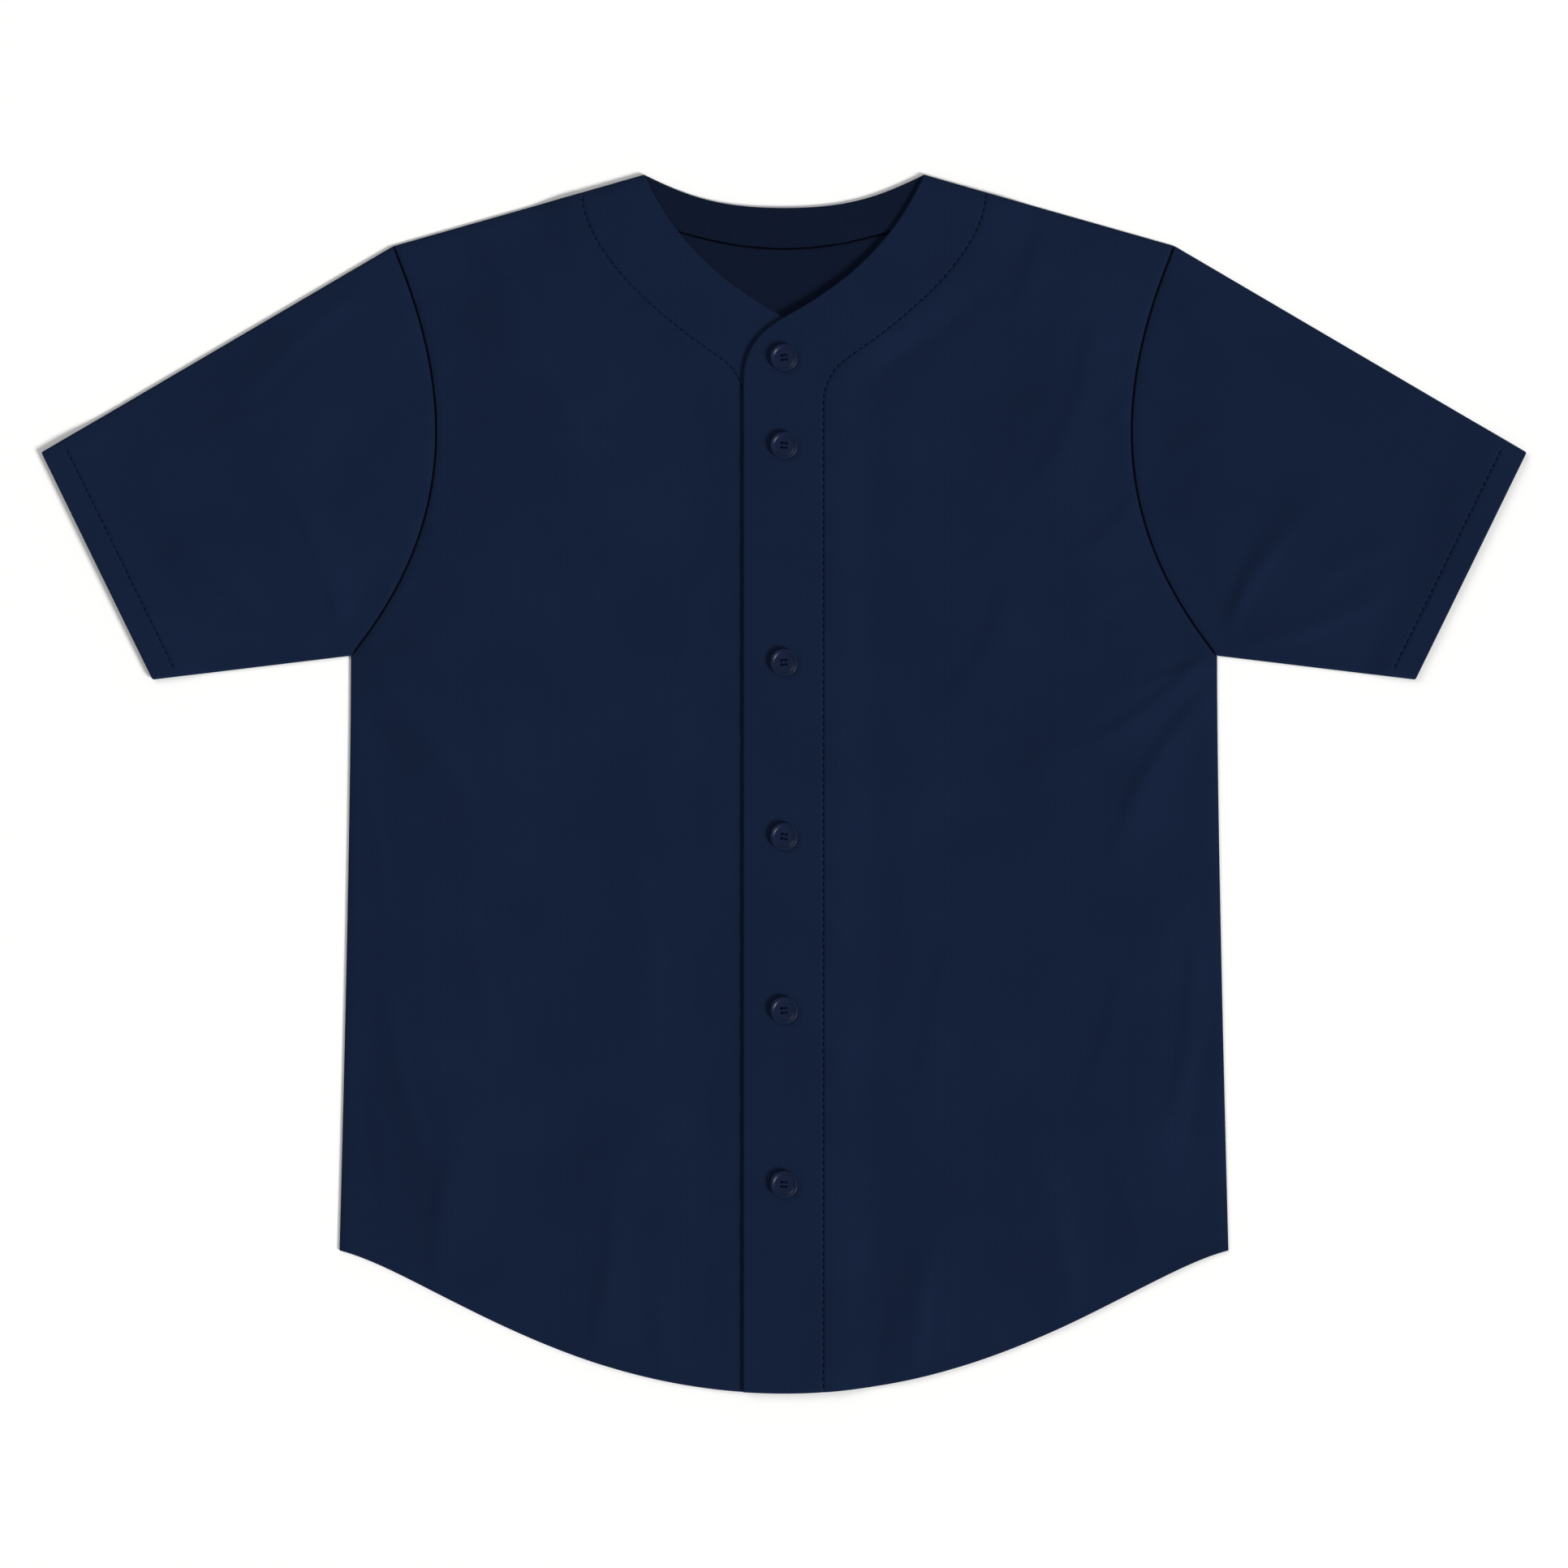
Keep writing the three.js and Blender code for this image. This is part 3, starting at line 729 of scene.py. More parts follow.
def knit_material(name, colour, wale, turned=False):
    """Polyester double knit, spun fine and pressed: columns of small V loops that catch a soft
    sheen. The real columns are 0.8 mm apart and are drawn three times as coarse, so they show.
    The wrong side has level bars in place of the Vs."""
    tree = empty_tree(name)
    place = add_node(tree, "ShaderNodeUVMap", uv_map="cloth")
    split = add_node(tree, "ShaderNodeSeparateXYZ", (place,)).outputs
    fuzz = add_node(tree, "ShaderNodeTexNoise", {
        "Vector": place, "Scale": 1 / (FUZZ * MM), "Detail": 3.0, "Roughness": 0.6})
    patches = add_node(tree, "ShaderNodeTexNoise", {
        "Vector": place, "Scale": 1 / (DYE_PATCH * MM), "Detail": 2.0, "Roughness": 0.5})
    made = {"fuzz": fuzz, "patches": patches}
    # Each step's result, its operation, and its inputs, which are numbers or earlier results.
    # Dye takes a little unevenly: broad soft patches, and the spun fuzz varies. The loops are
    # painted lighter on their tops and darker in the grooves between them: painted shade.
    for result, operation, *values in (
            ("column", "DIVIDE", split["X"], wale),
            ("course", "DIVIDE", split["Y"], COURSE_SHARE * wale),
            ("within", "FRACT", "column"),
            ("offset", "SUBTRACT", "within", 0.5),
            ("from_middle", "ABSOLUTE", "offset"),
            ("slant", "MULTIPLY", "from_middle", 0.0 if turned else 2.0),
            ("leg_angle", "MULTIPLY", "from_middle", 2 * math.pi),
            ("leg", "SINE", "leg_angle"),
            ("slanted", "ADD", "course", "slant"),
            ("bar_angle", "MULTIPLY", "slanted", 2 * math.pi),
            ("bar", "SINE", "bar_angle"),
            ("bar_height", "MULTIPLY_ADD", "bar", 0.35, 0.65),
            ("loops", "MULTIPLY", "leg", "bar_height"),
            ("relief", "MULTIPLY_ADD", "fuzz", 0.5, "loops"),
            ("shade", "MULTIPLY_ADD", "patches", 0.22, 0.87),
            # Painted shade: lighter where the loops stand up, darker in the grooves between them
            ("loop_painted_shade", "MULTIPLY_ADD", "loops", 0.45, 0.8),
            ("yarn_shade", "MULTIPLY_ADD", "fuzz", 0.24, 0.88),
            ("broad_shade", "MULTIPLY", "shade", "loop_painted_shade"),
            ("all_shades", "MULTIPLY", "broad_shade", "yarn_shade"),
            ("rough", "MULTIPLY_ADD", "fuzz", 0.16, 0.56)):
        inputs = [made[value] if isinstance(value, str) else value for value in values]
        made[result] = add_node(tree, MATH, inputs, operation=operation)
    # Dyed yarn in loops hardly mirrors light, and its sheen keeps the navy
    surface(tree, {
        "Base Color": add_node(tree, "ShaderNodeVectorMath", {
            0: tuple(colour), "Scale": made["all_shades"]}, operation="SCALE"),
        "Normal": add_node(tree, "ShaderNodeBump", {
            "Strength": 0.7, "Distance": 0.2 * MM, "Height": made["relief"]}),
        "Roughness": made["rough"],
        "IOR": 1.5,
        "Specular IOR Level": 0.006,
        "Sheen Weight": 0.3,
        "Sheen Roughness": 0.35,
        "Sheen Tint": (0.16, 0.26, 0.52, 1.0),
    })


def thread_material(name, colour):
    """Spun polyester thread and yarn: two plies twisted, with a low silky shine. The yarn in the
    seams is the same, made nearly black as painted shadow of the armhole ditch and the facing's
    edge."""
    tree = empty_tree(name)
    plies = add_node(tree, "ShaderNodeTexWave", {
        "Vector": add_node(tree, "ShaderNodeTexCoord").outputs["Object"],
        "Scale": 1 / (PLY * MM), "Distortion": 1.5, "Detail": 1.0},
        bands_direction="DIAGONAL").outputs["Fac"]
    # Painted shade: each ply lighter on its crown and darker where the plies meet
    shade = add_node(tree, MATH, (plies, 0.5, 0.7), operation="MULTIPLY_ADD")
    surface(tree, {
        "Base Color": add_node(tree, "ShaderNodeVectorMath", {
            0: tuple(colour), "Scale": shade}, operation="SCALE"),
        "Normal": add_node(tree, "ShaderNodeBump", {
            "Strength": 0.4, "Distance": 0.08 * MM, "Height": plies}),
        "Roughness": 0.6,
        "IOR": 1.5,
        "Specular IOR Level": 0.02,
    })


def button_material(name, colour):
    """Cast polyester button blank, tumbled to a satin gloss, with a faint cloudy depth."""
    tree = empty_tree(name)
    place = add_node(tree, "ShaderNodeTexCoord").outputs["Object"]
    cloud = add_node(tree, "ShaderNodeTexNoise", {
        "Vector": place, "Scale": 1 / (BUTTON_RADIUS * MM), "Detail": 4.0, "Roughness": 0.6,
        "Distortion": 0.8})
    shade = add_node(tree, MATH, (cloud, 0.5, 0.75), operation="MULTIPLY_ADD")
    scuffs = add_node(tree, "ShaderNodeTexNoise", {
        "Vector": place, "Scale": 1 / (SCUFF * MM), "Detail": 2.0})
    surface(tree, {
        "Base Color": add_node(tree, "ShaderNodeVectorMath", {
            0: tuple(colour), "Scale": shade}, operation="SCALE"),
        "Roughness": add_node(tree, MATH, (scuffs, 0.18, 0.24), operation="MULTIPLY_ADD"),
        "IOR": 1.54,
        "Specular IOR Level": 0.18,
    })


def floor_material(name, colour):
    """Studio board, painted matt, with the finest orange-peel of a roller."""
    tree = empty_tree(name)
    peel = add_node(tree, "ShaderNodeTexNoise", {
        "Vector": add_node(tree, "ShaderNodeTexCoord").outputs["Object"],
        "Scale": 1 / (ROLLER_PEEL * MM), "Detail": 2.0})
    surface(tree, {
        "Base Color": (*colour, 1.0),
        "Normal": add_node(tree, "ShaderNodeBump", {
            "Strength": 0.08, "Distance": 0.05 * MM, "Height": peel}),
        "Roughness": 0.85,
    })


def material_of(name):
    """The jersey's materials by name, made on first use."""
    sizes, colours = bpy.context.scene.jersey_sizes, bpy.context.scene.jersey_colours
    if name not in bpy.data.materials:
        make, *values = {
            "polyester_knit_face": (knit_material, colours.cloth, sizes.wale_spacing),
            "polyester_knit_wrong_side": (
                knit_material, colours.inside, sizes.wale_spacing, True),
            "spun_polyester_thread": (thread_material, colours.thread),
            "overlock_yarn": (thread_material, colours.seam_shadow_yarn),
            "cast_polyester_button": (button_material, colours.button),
            "matt_studio_board": (floor_material, colours.floor),
        }[name]
        make(name, *values)
    return bpy.data.materials[name]


def knit():
    return [material_of("polyester_knit_face"), material_of("polyester_knit_wrong_side")]


# Fronts

def front_grid():
    """Places of a front's points, with each one's distance from its edges and stitches."""
    seam, bow, neck = side_rows()
    turned = neck > 0
    edge = np.column_stack([np.full(len(seam), STAND_EDGE), seam[:, 1]])
    stitch = np.column_stack([np.full(len(seam), STAND_STITCH), seam[:, 1]])
    edge[turned] = along(FREE_EDGE, neck[turned] ** NECK_CROWDING)
    stitch[turned] = along(FACING_STITCH, neck[turned])
    first, inner, stand = rays(edge, stitch, ROLL, (0.0,) + BESIDE, STAND_COLUMNS)
    second, outer, reach = rays(stitch, seam, BESIDE, ROLL, FRONT_COLUMNS)
    x, y = bowed(np.hstack([first, second]), bow)
    past = np.hstack([inner - stand, outer])
    left = np.hstack([reach + stand - inner, reach - outer])
    from_edge = np.hstack([inner, stand + outer])
    return x, y, past, left, from_edge, np.broadcast_to(neck[:, None], x.shape)


def front_relief(side, x, y, past, left, neck):
    """Height of a front's outer face, and the thickness of its wall."""
    stand_rise, folds, sharp = FRONTS[side]
    turned = smoothstep(*NECK_TURN, neck ** NECK_CROWDING)
    rise = stand_rise + (NECK_RISE - stand_rise) * turned
    stand = rise * (1.0 - smoothstep(*STAND_SLOPE, past))
    from_hem = y - hem_height(x)
    under = np.maximum(below_shoulder(x, y), 0.0)
    soft = (smoothstep(STAND_SLOPE[0], LOFT_EDGE, past) * smoothstep(0.0, LOFT_EDGE, left)
            * smoothstep(0.0, LOFT_EDGE, under)
            * (HEM_LOFT + (1 - HEM_LOFT) * smoothstep(0.0, LOFT_EDGE, from_hem)))
    free = (smoothstep(*CLEAR_OF_STITCHES, past) * smoothstep(*CLEAR_OF_SEAM, left)
            * smoothstep(*CLEAR_OF_SHOULDER, under)
            * (0.5 + 0.5 * smoothstep(*CLEAR_OF_HEM, from_hem)))
    height = FRONT_TOP + stand + relief(soft, free, folds, sharp, x, y)
    # Sewing draws the cloth in along the facing's stitches and the seams
    run = y + GATHER_LEAN * x
    height -= STITCH_DIP * hump(past, STITCH_WIDTH)
    height += gathers(run, past, STITCH_GATHERS) * smoothstep(*STAND_GATHERS, past)
    height += (gathers(run, left, SEAM_GATHERS, shift=1.3)
               * smoothstep(*GATHERS_FROM_SEAM, left))
    height -= SEAM_DIP * hump(np.minimum(left, under), SEAM_WIDTH)
    height -= (NECK_POINT_DIP * turned * (1.0 - smoothstep(0.0, NECK_POINT_REACH, past))
               * hump(under, NECK_POINT_WIDTH))
    wall = CLOTH + (FACED - CLOTH) * (1.0 - smoothstep(0.0, FACING_STEP, past))
    return height, wall


def front(side):
    """One front, from its button stand to the side seam."""
    sign = SIGN[side]
    x, y, past, left, from_edge, neck = front_grid()
    height, wall = front_relief(side, x, y, past, left, neck)
    share = closed(
        rounded(from_edge, FREE_ROLL) * rounded(y - hem_height(x), FREE_ROLL)
        * rounded(left, SEAM_ROLL) * rounded(np.maximum(below_shoulder(x, y), 0.0), SEAM_ROLL))
    # The underside stays above the back, its neck facing and the lower front's button stand
    facing = np.interp(x, FACING_LINE[:, 0], FACING_LINE[:, 1], right=math.inf)
    lowest = np.where(y > facing - 1.0, 2 * CLOTH + FACING_CLEARANCE + FACING_CURL,
                      CLOTH + LEAST_ROOM + back_lift(sign * x, y, left))
    if side == "left":
        lowest = np.where((x < -STAND_EDGE + 1.0) & (y < FRONT_NECK[1]),
                          FRONT_TOP + UNDER_STAND_RISE + STAND_CLEARANCE, lowest)
    over = height - (1 - share) * wall / 2
    below = np.minimum(np.maximum(over - share * wall, lowest), over)
    top, bottom = (np.stack([sign * x, y, z], -1) for z in (over, below))
    dress(shell(f"front_{side}_cloth", top, bottom, np.eye(2), sign < 0, knit()),
          f"front_{side}_panel")


class JERSEY_OT_fronts(bpy.types.Operator):
    """Add the two fronts, the wearer's left one lapped over the right one"""
    bl_idname = "jersey.fronts"
    bl_label = "Fronts"

    def execute(self, context):
        for side in ("right", "left"):
            front(side)
        return {"FINISHED"}


# Back

def back_grid():
    """Half of the back, from the centre line out to the side seam."""
    seam, bow, neck = side_rows()
    turned = neck > 0
    x_neck = np.linspace(0.0, NECK_POINT[0], NECK_COLUMNS)
    count = len(seam)
    corner = np.column_stack([np.full(count, NECK_POINT[0]), seam[:, 1]])
    lift = (NECK_POINT[1] - STITCH_TOP) * neck
    corner[turned, 1] = STITCH_TOP + lift[turned]
    neck_y = np.interp(x_neck, NECK_LINE[:, 0], NECK_LINE[:, 1])
    y_inner = np.broadcast_to(seam[:, 1:], (count, len(x_neck))).copy()
    y_inner[turned] = STITCH_TOP + (neck_y - STITCH_TOP) * neck[turned, None]
    inner = np.stack([np.broadcast_to(x_neck, y_inner.shape), y_inner], -1)
    outer, out, reach = rays(corner, seam, BESIDE[-1:], ROLL, BACK_COLUMNS)
    x, y = bowed(np.hstack([inner, outer]), bow)
    left = np.hstack([seam[:, :1] - inner[..., 0], reach - out])
    return x, y, left


def both_faces(x, y, middle, share):
    """The upper and the lower face of one layer of cloth about its middle height."""
    return (np.stack([x, y, middle + half * CLOTH / 2], -1) for half in (share, -share))


class JERSEY_OT_back(bpy.types.Operator):
    """Add the back panel, which lies on the surface, and the facing inside its neck"""
    bl_idname = "jersey.back"
    bl_label = "Back and neck facing"

    def execute(self, context):
        x, y, left = back_grid()
        neck_y = np.interp(x, NECK_LINE[:, 0], NECK_LINE[:, 1])
        from_neck = np.where(x < NECK_POINT[0], neck_y - y, below_shoulder(x, y))
        share = (rounded(left, BACK_ROLL) * rounded(y - hem_height(x), BACK_ROLL)
                 * rounded(np.maximum(from_neck, 0.0), BACK_ROLL))
        x, y, share, left = (np.hstack([sign * part[:, :0:-1], part])
                             for part, sign in ((x, -1), (y, 1), (share, 1), (left, 1)))
        share = closed(share)
        top, bottom = both_faces(x, y, CLOTH / 2 + back_lift(x, y, left), share)
        # The wrong side's material is darker than its own colour: partly painted shade inside the
        # neck
        face, wrong = knit()
        dress(shell("back_panel_cloth", top, bottom, np.eye(2), False, [wrong, face]),
              "back_panel")

        shares = np.concatenate([
            np.array(ROLL) / FACING_RUN, np.linspace(0.02, 1.0, FACING_COLUMNS)])
        half = 1.0 - shares[::-1]
        low, high = (mirrored(bezier(e, half)) for e in (BACK_FACING_EDGE, BACK_NECK_EDGE))
        places, steps, width = rays(low, high, ROLL, ROLL, FACING_ROWS)
        x, y, steps, width = (part.T for part in (*np.moveaxis(places, -1, 0), steps, width))
        ends = np.maximum(below_shoulder(np.abs(x), y), 0.0)
        share = closed(rounded(steps, SEAM_ROLL) * rounded(width - steps, SEAM_ROLL)
                       * rounded(ends, BACK_ROLL))
        lift = (FACING_CURL * smoothstep(0.0, FACING_CURL_WIDTH, steps)
                + 0.5 * gathers(x, steps, FACING_GATHERS))
        top, bottom = both_faces(x, y, 1.5 * CLOTH + FACING_CLEARANCE + lift, share)
        # The facing is cut across the knit
        across = np.array([[0.0, 1.0], [1.0, 0.0]])
        dress(shell("neck_facing_cloth", top, bottom, across, False, [wrong, wrong]),
              "back_neck_facing")
        return {"FINISHED"}


# Sleeves

def sleeve_stations():
    """Lines of places across a sleeve, from the armhole to the cuff: the places, how far each
    line has travelled, its distance from the cuff and each place's share of the way up."""
    t = np.linspace(0.0, 1.0, SLEEVE_COLUMNS)
    armhole = bezier(ARMHOLE, t)
    share = (armhole[:, 1] - UNDERARM[1]) / (SHOULDER_POINT[1] - UNDERARM[1])
    line = np.subtract(CUFF_TOP, CUFF_BOTTOM)
    cuff = CUFF_BOTTOM + line * share[:, None]
    back = armhole - cuff
    reach = np.hypot(*back.T)
    inward = np.array([-line[1], line[0]]) / np.hypot(*line)
    depth = back @ inward

    start = CUFF_HEM + BESIDE[-1]
    near = np.array(ROLL) / reach.mean()
    travel = np.concatenate([near, np.linspace(near[-1], 1.0, SLEEVE_ROWS)[1:]])
    depths = [CUFF_HEM + beside for beside in BESIDE[-2::-1]] + [CUFF_HEM]
    depths += [CUFF_HEM - beside for beside in BESIDE]
    depths += list(np.linspace(CUFF_HEM - BESIDE[-1], ROLL[-1], CUFF_ROWS)[1:-1])
    depths += ROLL[::-1]
    places = [armhole + (cuff + back * (start / depth)[:, None] - armhole) * s for s in travel]
    from_cuff = [np.mean((across - cuff) @ inward) for across in places] + depths
    places += [cuff + back * (d / depth)[:, None] for d in depths]
    travel = np.concatenate([travel, np.ones(len(depths))])
    return np.array(places), travel, np.array(from_cuff), t


def sleeve_points(side):
    """Outer and inner loops of a sleeve, station by station."""
    folds, sharp = SLEEVES[side]
    places, travel, from_cuff, t = sleeve_stations()
    x, y = places[..., 0], places[..., 1]
    from_cuff = from_cuff[:, None]
    hemmed = smoothstep(*HEM_THICKENS, from_cuff)
    loft = (smoothstep(*SLEEVE_RISE, travel)[:, None]
            * (1 - (1 - CUFF_LOFT) * smoothstep(*CUFF_PRESS, from_cuff)))
    flat = 2 * CLOTH + GAP + hemmed * 2 * (FACED - CLOTH)
    middle = np.sin(np.pi * t)[None, :]
    from_armhole = np.hypot(x - x[0], y - y[0])
    free = (smoothstep(*CLEAR_OF_SEAM, from_armhole) * smoothstep(*CLEAR_OF_FOLD, middle)
            * smoothstep(*CLEAR_OF_STITCHES, from_cuff))
    height = flat + relief(loft * middle, free, folds, sharp, x, y)
    run = y + GATHER_LEAN * x
    stitched = hump(from_cuff - CUFF_HEM, STITCH_WIDTH)
    height -= STITCH_DIP * stitched
    height += (gathers(run, from_cuff - CUFF_HEM, STITCH_GATHERS, shift=0.8)
               * smoothstep(*CUFF_GATHERS, from_cuff) * smoothstep(*EDGE_GATHERS, middle))
    height += (gathers(run, from_armhole, SEAM_GATHERS, shift=2.2)
               * smoothstep(*GATHERS_FROM_SEAM, from_armhole))
    height -= SEAM_DIP * hump(from_armhole, SEAM_WIDTH)
    lift = lifted(SLEEVE_CREASES_BELOW, x, y)
    for room, distance in zip(BELOW_ROOM, (from_armhole, middle, from_cuff)):
        lift = lift * smoothstep(*room, distance)
    wall = CLOTH + (FACED - CLOTH) * smoothstep(CUFF_HEM + FACING_STEP, CUFF_HEM, from_cuff)
    share = rounded(from_armhole.mean(1), SEAM_ROLL)[:, None] * rounded(from_cuff, FREE_ROLL)
    share[0] = share[-1] = 0.0
    angles = np.radians(np.linspace(-90.0, 90.0, FOLD_POINTS))

    def turn(end, beside, inset):
        """The round of the fold at one end of every station."""
        inward = places[:, beside] - places[:, end]
        inward /= np.hypot(*inward.T)[:, None]
        reach = FOLD_REACH - (FOLD_REACH - inset) * np.cos(angles)
        rise = flat / 2 + (flat / 2 - inset) * np.sin(angles)
        return places[:, end, None] + inward[:, None] * reach[..., None], rise

    def loop(inset, lowest):
        low, low_z = turn(0, FOLD_PLACES, inset)
        high, high_z = turn(-1, -1 - FOLD_PLACES, inset)
        keep = slice(FOLD_PLACES, -FOLD_PLACES)
        blend = smoothstep(*EDGE_RELIEF, middle)
        over_z = np.maximum(flat + (height - flat) * blend - inset, lowest)
        over = places[:, keep]
        under = over[:, ::2][:, ::-1]
        under_z = inset + STITCH_DIP_BELOW * stitched + lift[:, keep][:, ::2][:, ::-1]
        plan = np.concatenate([low, over, high[:, ::-1], under], 1)
        z = np.concatenate([low_z, over_z[:, keep], high_z[:, ::-1], under_z], 1)
        return np.dstack([plan, z])

    outer = loop(wall / 2 * (1 - share), 0.0)
    inner = loop(wall / 2 * (1 + share), CLOTH + LEAST_ROOM + lift)
    inner[..., 2] = np.where(share > 0.0, inner[..., 2], outer[..., 2])
    return outer, inner


def sleeve(side):
    """One sleeve, a flattened tube that is open at the armhole and the cuff."""
    sign = SIGN[side]
    outer, inner = (loop * (sign, 1, 1) for loop in sleeve_points(side))
    # The knit's columns run down the sleeve, along its middle line
    run = np.subtract(np.add(CUFF_TOP, CUFF_BOTTOM), np.add(SHOULDER_POINT, UNDERARM))
    run = run / np.hypot(*run)
    grain = np.array([(-run[1] * sign, run[0] * sign), run])
    dress(shell(f"sleeve_{side}_cloth", outer, inner, grain, sign > 0, knit(), tube=True),
          f"sleeve_{side}")


class JERSEY_OT_sleeves(bpy.types.Operator):
    """Add the two set-in sleeves as flattened tubes with a turned hem"""
    bl_idname = "jersey.sleeves"
    bl_label = "Sleeves"

    def execute(self, context):
        for side in SIGN:
            sleeve(side)
        return {"FINISHED"}


# Sewing

def deselect_all():
    for item in bpy.context.view_layer.objects:
        item.select_set(False)


def thread_bar(length, width, dip):
    """Points and faces of one short length of thread along X, its ends sunk by dip."""
    deselect_all()
    bpy.ops.mesh.primitive_uv_sphere_add(
        segments=8, ring_count=6, radius=0.5 * MM, rotation=(0.0, math.pi / 2, 0.0))
    bar = bpy.context.object
    bpy.ops.object.transform_apply(location=False, rotation=True, scale=False)
    bpy.ops.object.mode_set(mode="EDIT")
    bpy.ops.mesh.select_all(action="SELECT")
    bpy.ops.transform.resize(value=(length, width, width))
    bpy.ops.object.mode_set(mode="OBJECT")
    points = np.array([vertex.co[:] for vertex in bar.data.vertices]) / MM
    # The sphere's faces come in another order each time
    faces = sorted(list(face.vertices) for face in bar.data.polygons)
    bpy.data.objects.remove(bar)
    # The thread keeps its width until it goes down into the cloth
    out = np.clip(np.abs(2 * points[:, 0] / length), 0.0, 1.0)
    fuller = np.sqrt((1.001 - out ** 6) / (1.001 - out ** 2))
    points[:, 1:] *= np.clip(fuller, 1.0, STITCH_FULLNESS)[:, None]
    points[:, 2] -= dip * out ** 4
    return points, faces


def sewn(name, rows, length, gap, width):
    """Rows of stitches along paths of x, y, z points, as one joined piece. Each row comes with
    the side of the cloth that it shows on: 1 is up and -1 is down."""
    bar, bar_faces = thread_bar(length, width, STITCH_SINK * width)
    bars = []
    for path, up in rows:
        steps = np.linalg.norm(np.diff(path, axis=0), axis=1)
        lengths = np.concatenate(([0.0], np.cumsum(steps)))
        for i in range(int(lengths[-1] // (length + gap))):
            ends = np.array([0.0, length]) + i * (length + gap) + gap / 2
            start, end = np.column_stack([np.interp(ends, lengths, part) for part in path.T])
            forward = (end - start) / np.linalg.norm(end - start)
            across = np.cross((0.0, 0.0, up), forward)
            across /= np.linalg.norm(across)
            bars.append(bar @ np.array([forward, across, np.cross(forward, across)])
                        + (start + end) / 2)
    return joined(name, bars, bar_faces)


def joined(name, bars, bar_faces):
    """Many bars of thread with the same faces, as one piece."""
    count = len(bars[0])
    faces = [[v + i * count for v in face] for i in range(len(bars)) for face in bar_faces]
    return make_piece(name, np.vstack(bars), faces, [material_of("spun_polyester_thread")])


def front_path(side, lowest, lift):
    """The facing's row of stitches on a front, from a height near the hem to the shoulder."""
    x, y, past, left, _, neck = front_grid()
    height, _ = front_relief(side, x, y, past, left, neck)
    column = int(np.argmin(np.abs(past[0])))
    path = np.column_stack([x[:, column], y[:, column], height[:, column]])
    return path[path[:, 1] > lowest] * (SIGN[side], 1, 1) + (0, 0, lift)


def cuff_rows(side, width):
    """The sleeve hem's rows of stitches on the upper and the lower face. The lower ones lie in
    their groove, clear of the surface."""
    outer, _ = sleeve_points(side)
    _, _, from_cuff, t = sleeve_stations()
    loop = outer[int(np.argmin(np.abs(from_cuff - CUFF_HEM)))] * (SIGN[side], 1, 1)
    count = len(t) - 2 * FOLD_PLACES
    over, under = loop[FOLD_POINTS:FOLD_POINTS + count], loop[2 * FOLD_POINTS + count:]
    lift = STITCH_LIFT * width
    return [(over + (0, 0, lift), 1), (under * (1, 1, 0) + (0, 0, 2 * lift), -1)]


def shadow_line_of_yarn(name, curve, height, width):
    """A yarn along a curve of x, y places, a little flat, with tapered ends. Its near-black colour
    paints the shadow of the armhole seam's ditch and of the facing's edge.
    """
    count, sides = len(curve), 6
    turn = np.linspace(0.0, 2 * math.pi, sides, endpoint=False)
    forward = np.gradient(curve, axis=0)
    forward /= np.hypot(*forward.T)[:, None]
    normal = np.column_stack([-forward[:, 1], forward[:, 0]])
    from_end = np.minimum(np.arange(count), np.arange(count)[::-1]) + 0.2
    radius = (width / 2 * rounded(from_end, 2.0))[:, None]
    plan = curve[:, None] + normal[:, None] * (radius * np.cos(turn))[..., None]
    upright = np.broadcast_to(height, count)[:, None] + THREAD_FLATNESS * radius * np.sin(turn)
    points = np.dstack([plan, upright]).reshape(-1, 3)
    ring = np.arange(count * sides).reshape(count, sides)
    faces = quads(wrapped(ring), False).tolist() + [ring[0].tolist(), ring[-1][::-1].tolist()]
    return make_piece(name, points, faces, [material_of("overlock_yarn")])


class JERSEY_OT_sewing(bpy.types.Operator):
    """Add the topstitches on the front facings and sleeve hems, and near-black yarn as painted
    shadow in the armhole seams and on the edge of the neck facing"""
    bl_idname = "jersey.sewing"
    bl_label = "Sewing"

    def execute(self, context):
        sizes = context.scene.jersey_sizes
        length, gap, width = (
            v / MM for v in (sizes.stitch_length, sizes.stitch_gap, sizes.thread_width))
        lift = STITCH_LIFT * width
        lowest = hem_height(STAND_STITCH) + STITCH_ABOVE_HEM
        rows = {
            "front_left": [(front_path("left", lowest, lift), 1)],
            # Below this the left front lies over the right one's stitches
            "front_right": [(front_path("right", STITCH_CORNER - STITCH_BELOW_LAP, lift), 1)],
            "sleeve_left": cuff_rows("left", width),
            "sleeve_right": cuff_rows("right", width),
        }
        for place, paths in rows.items():
            piece = sewn(f"stitches_{place}", paths, length, gap, width)
            dress(piece, None)
        share = np.linspace(0.003, 0.997, 160)
        armhole = bezier(ARMHOLE, share)
        # The sleeve folds at both ends
        ditch = SEAM_BOTTOM + SEAM_END_RISE * smoothstep(*SEAM_END, np.sin(np.pi * share))
        # The yarn in each armhole ditch is painted shadow, a dark line where the seam is in shade
        for side, sign in SIGN.items():
            piece = shadow_line_of_yarn(f"armhole_shadow_thread_{side}", armhole[::sign] * (sign, 1),
                                ditch[::sign], SEAM_SHADOW_THREAD)
            dress(piece, None)
        # The facing's overlocked edge gets the same near-black yarn, partly painted shadow of the
        # edge
        facing = mirrored(bezier(BACK_FACING_EDGE, np.linspace(0.0, 0.98, 90)))
        piece = shadow_line_of_yarn("facing_edge_thread_and_shadow", facing, FACING_EDGE_MIDDLE, FACING_THREAD)
        dress(piece, None)
        return {"FINISHED"}


# Buttons

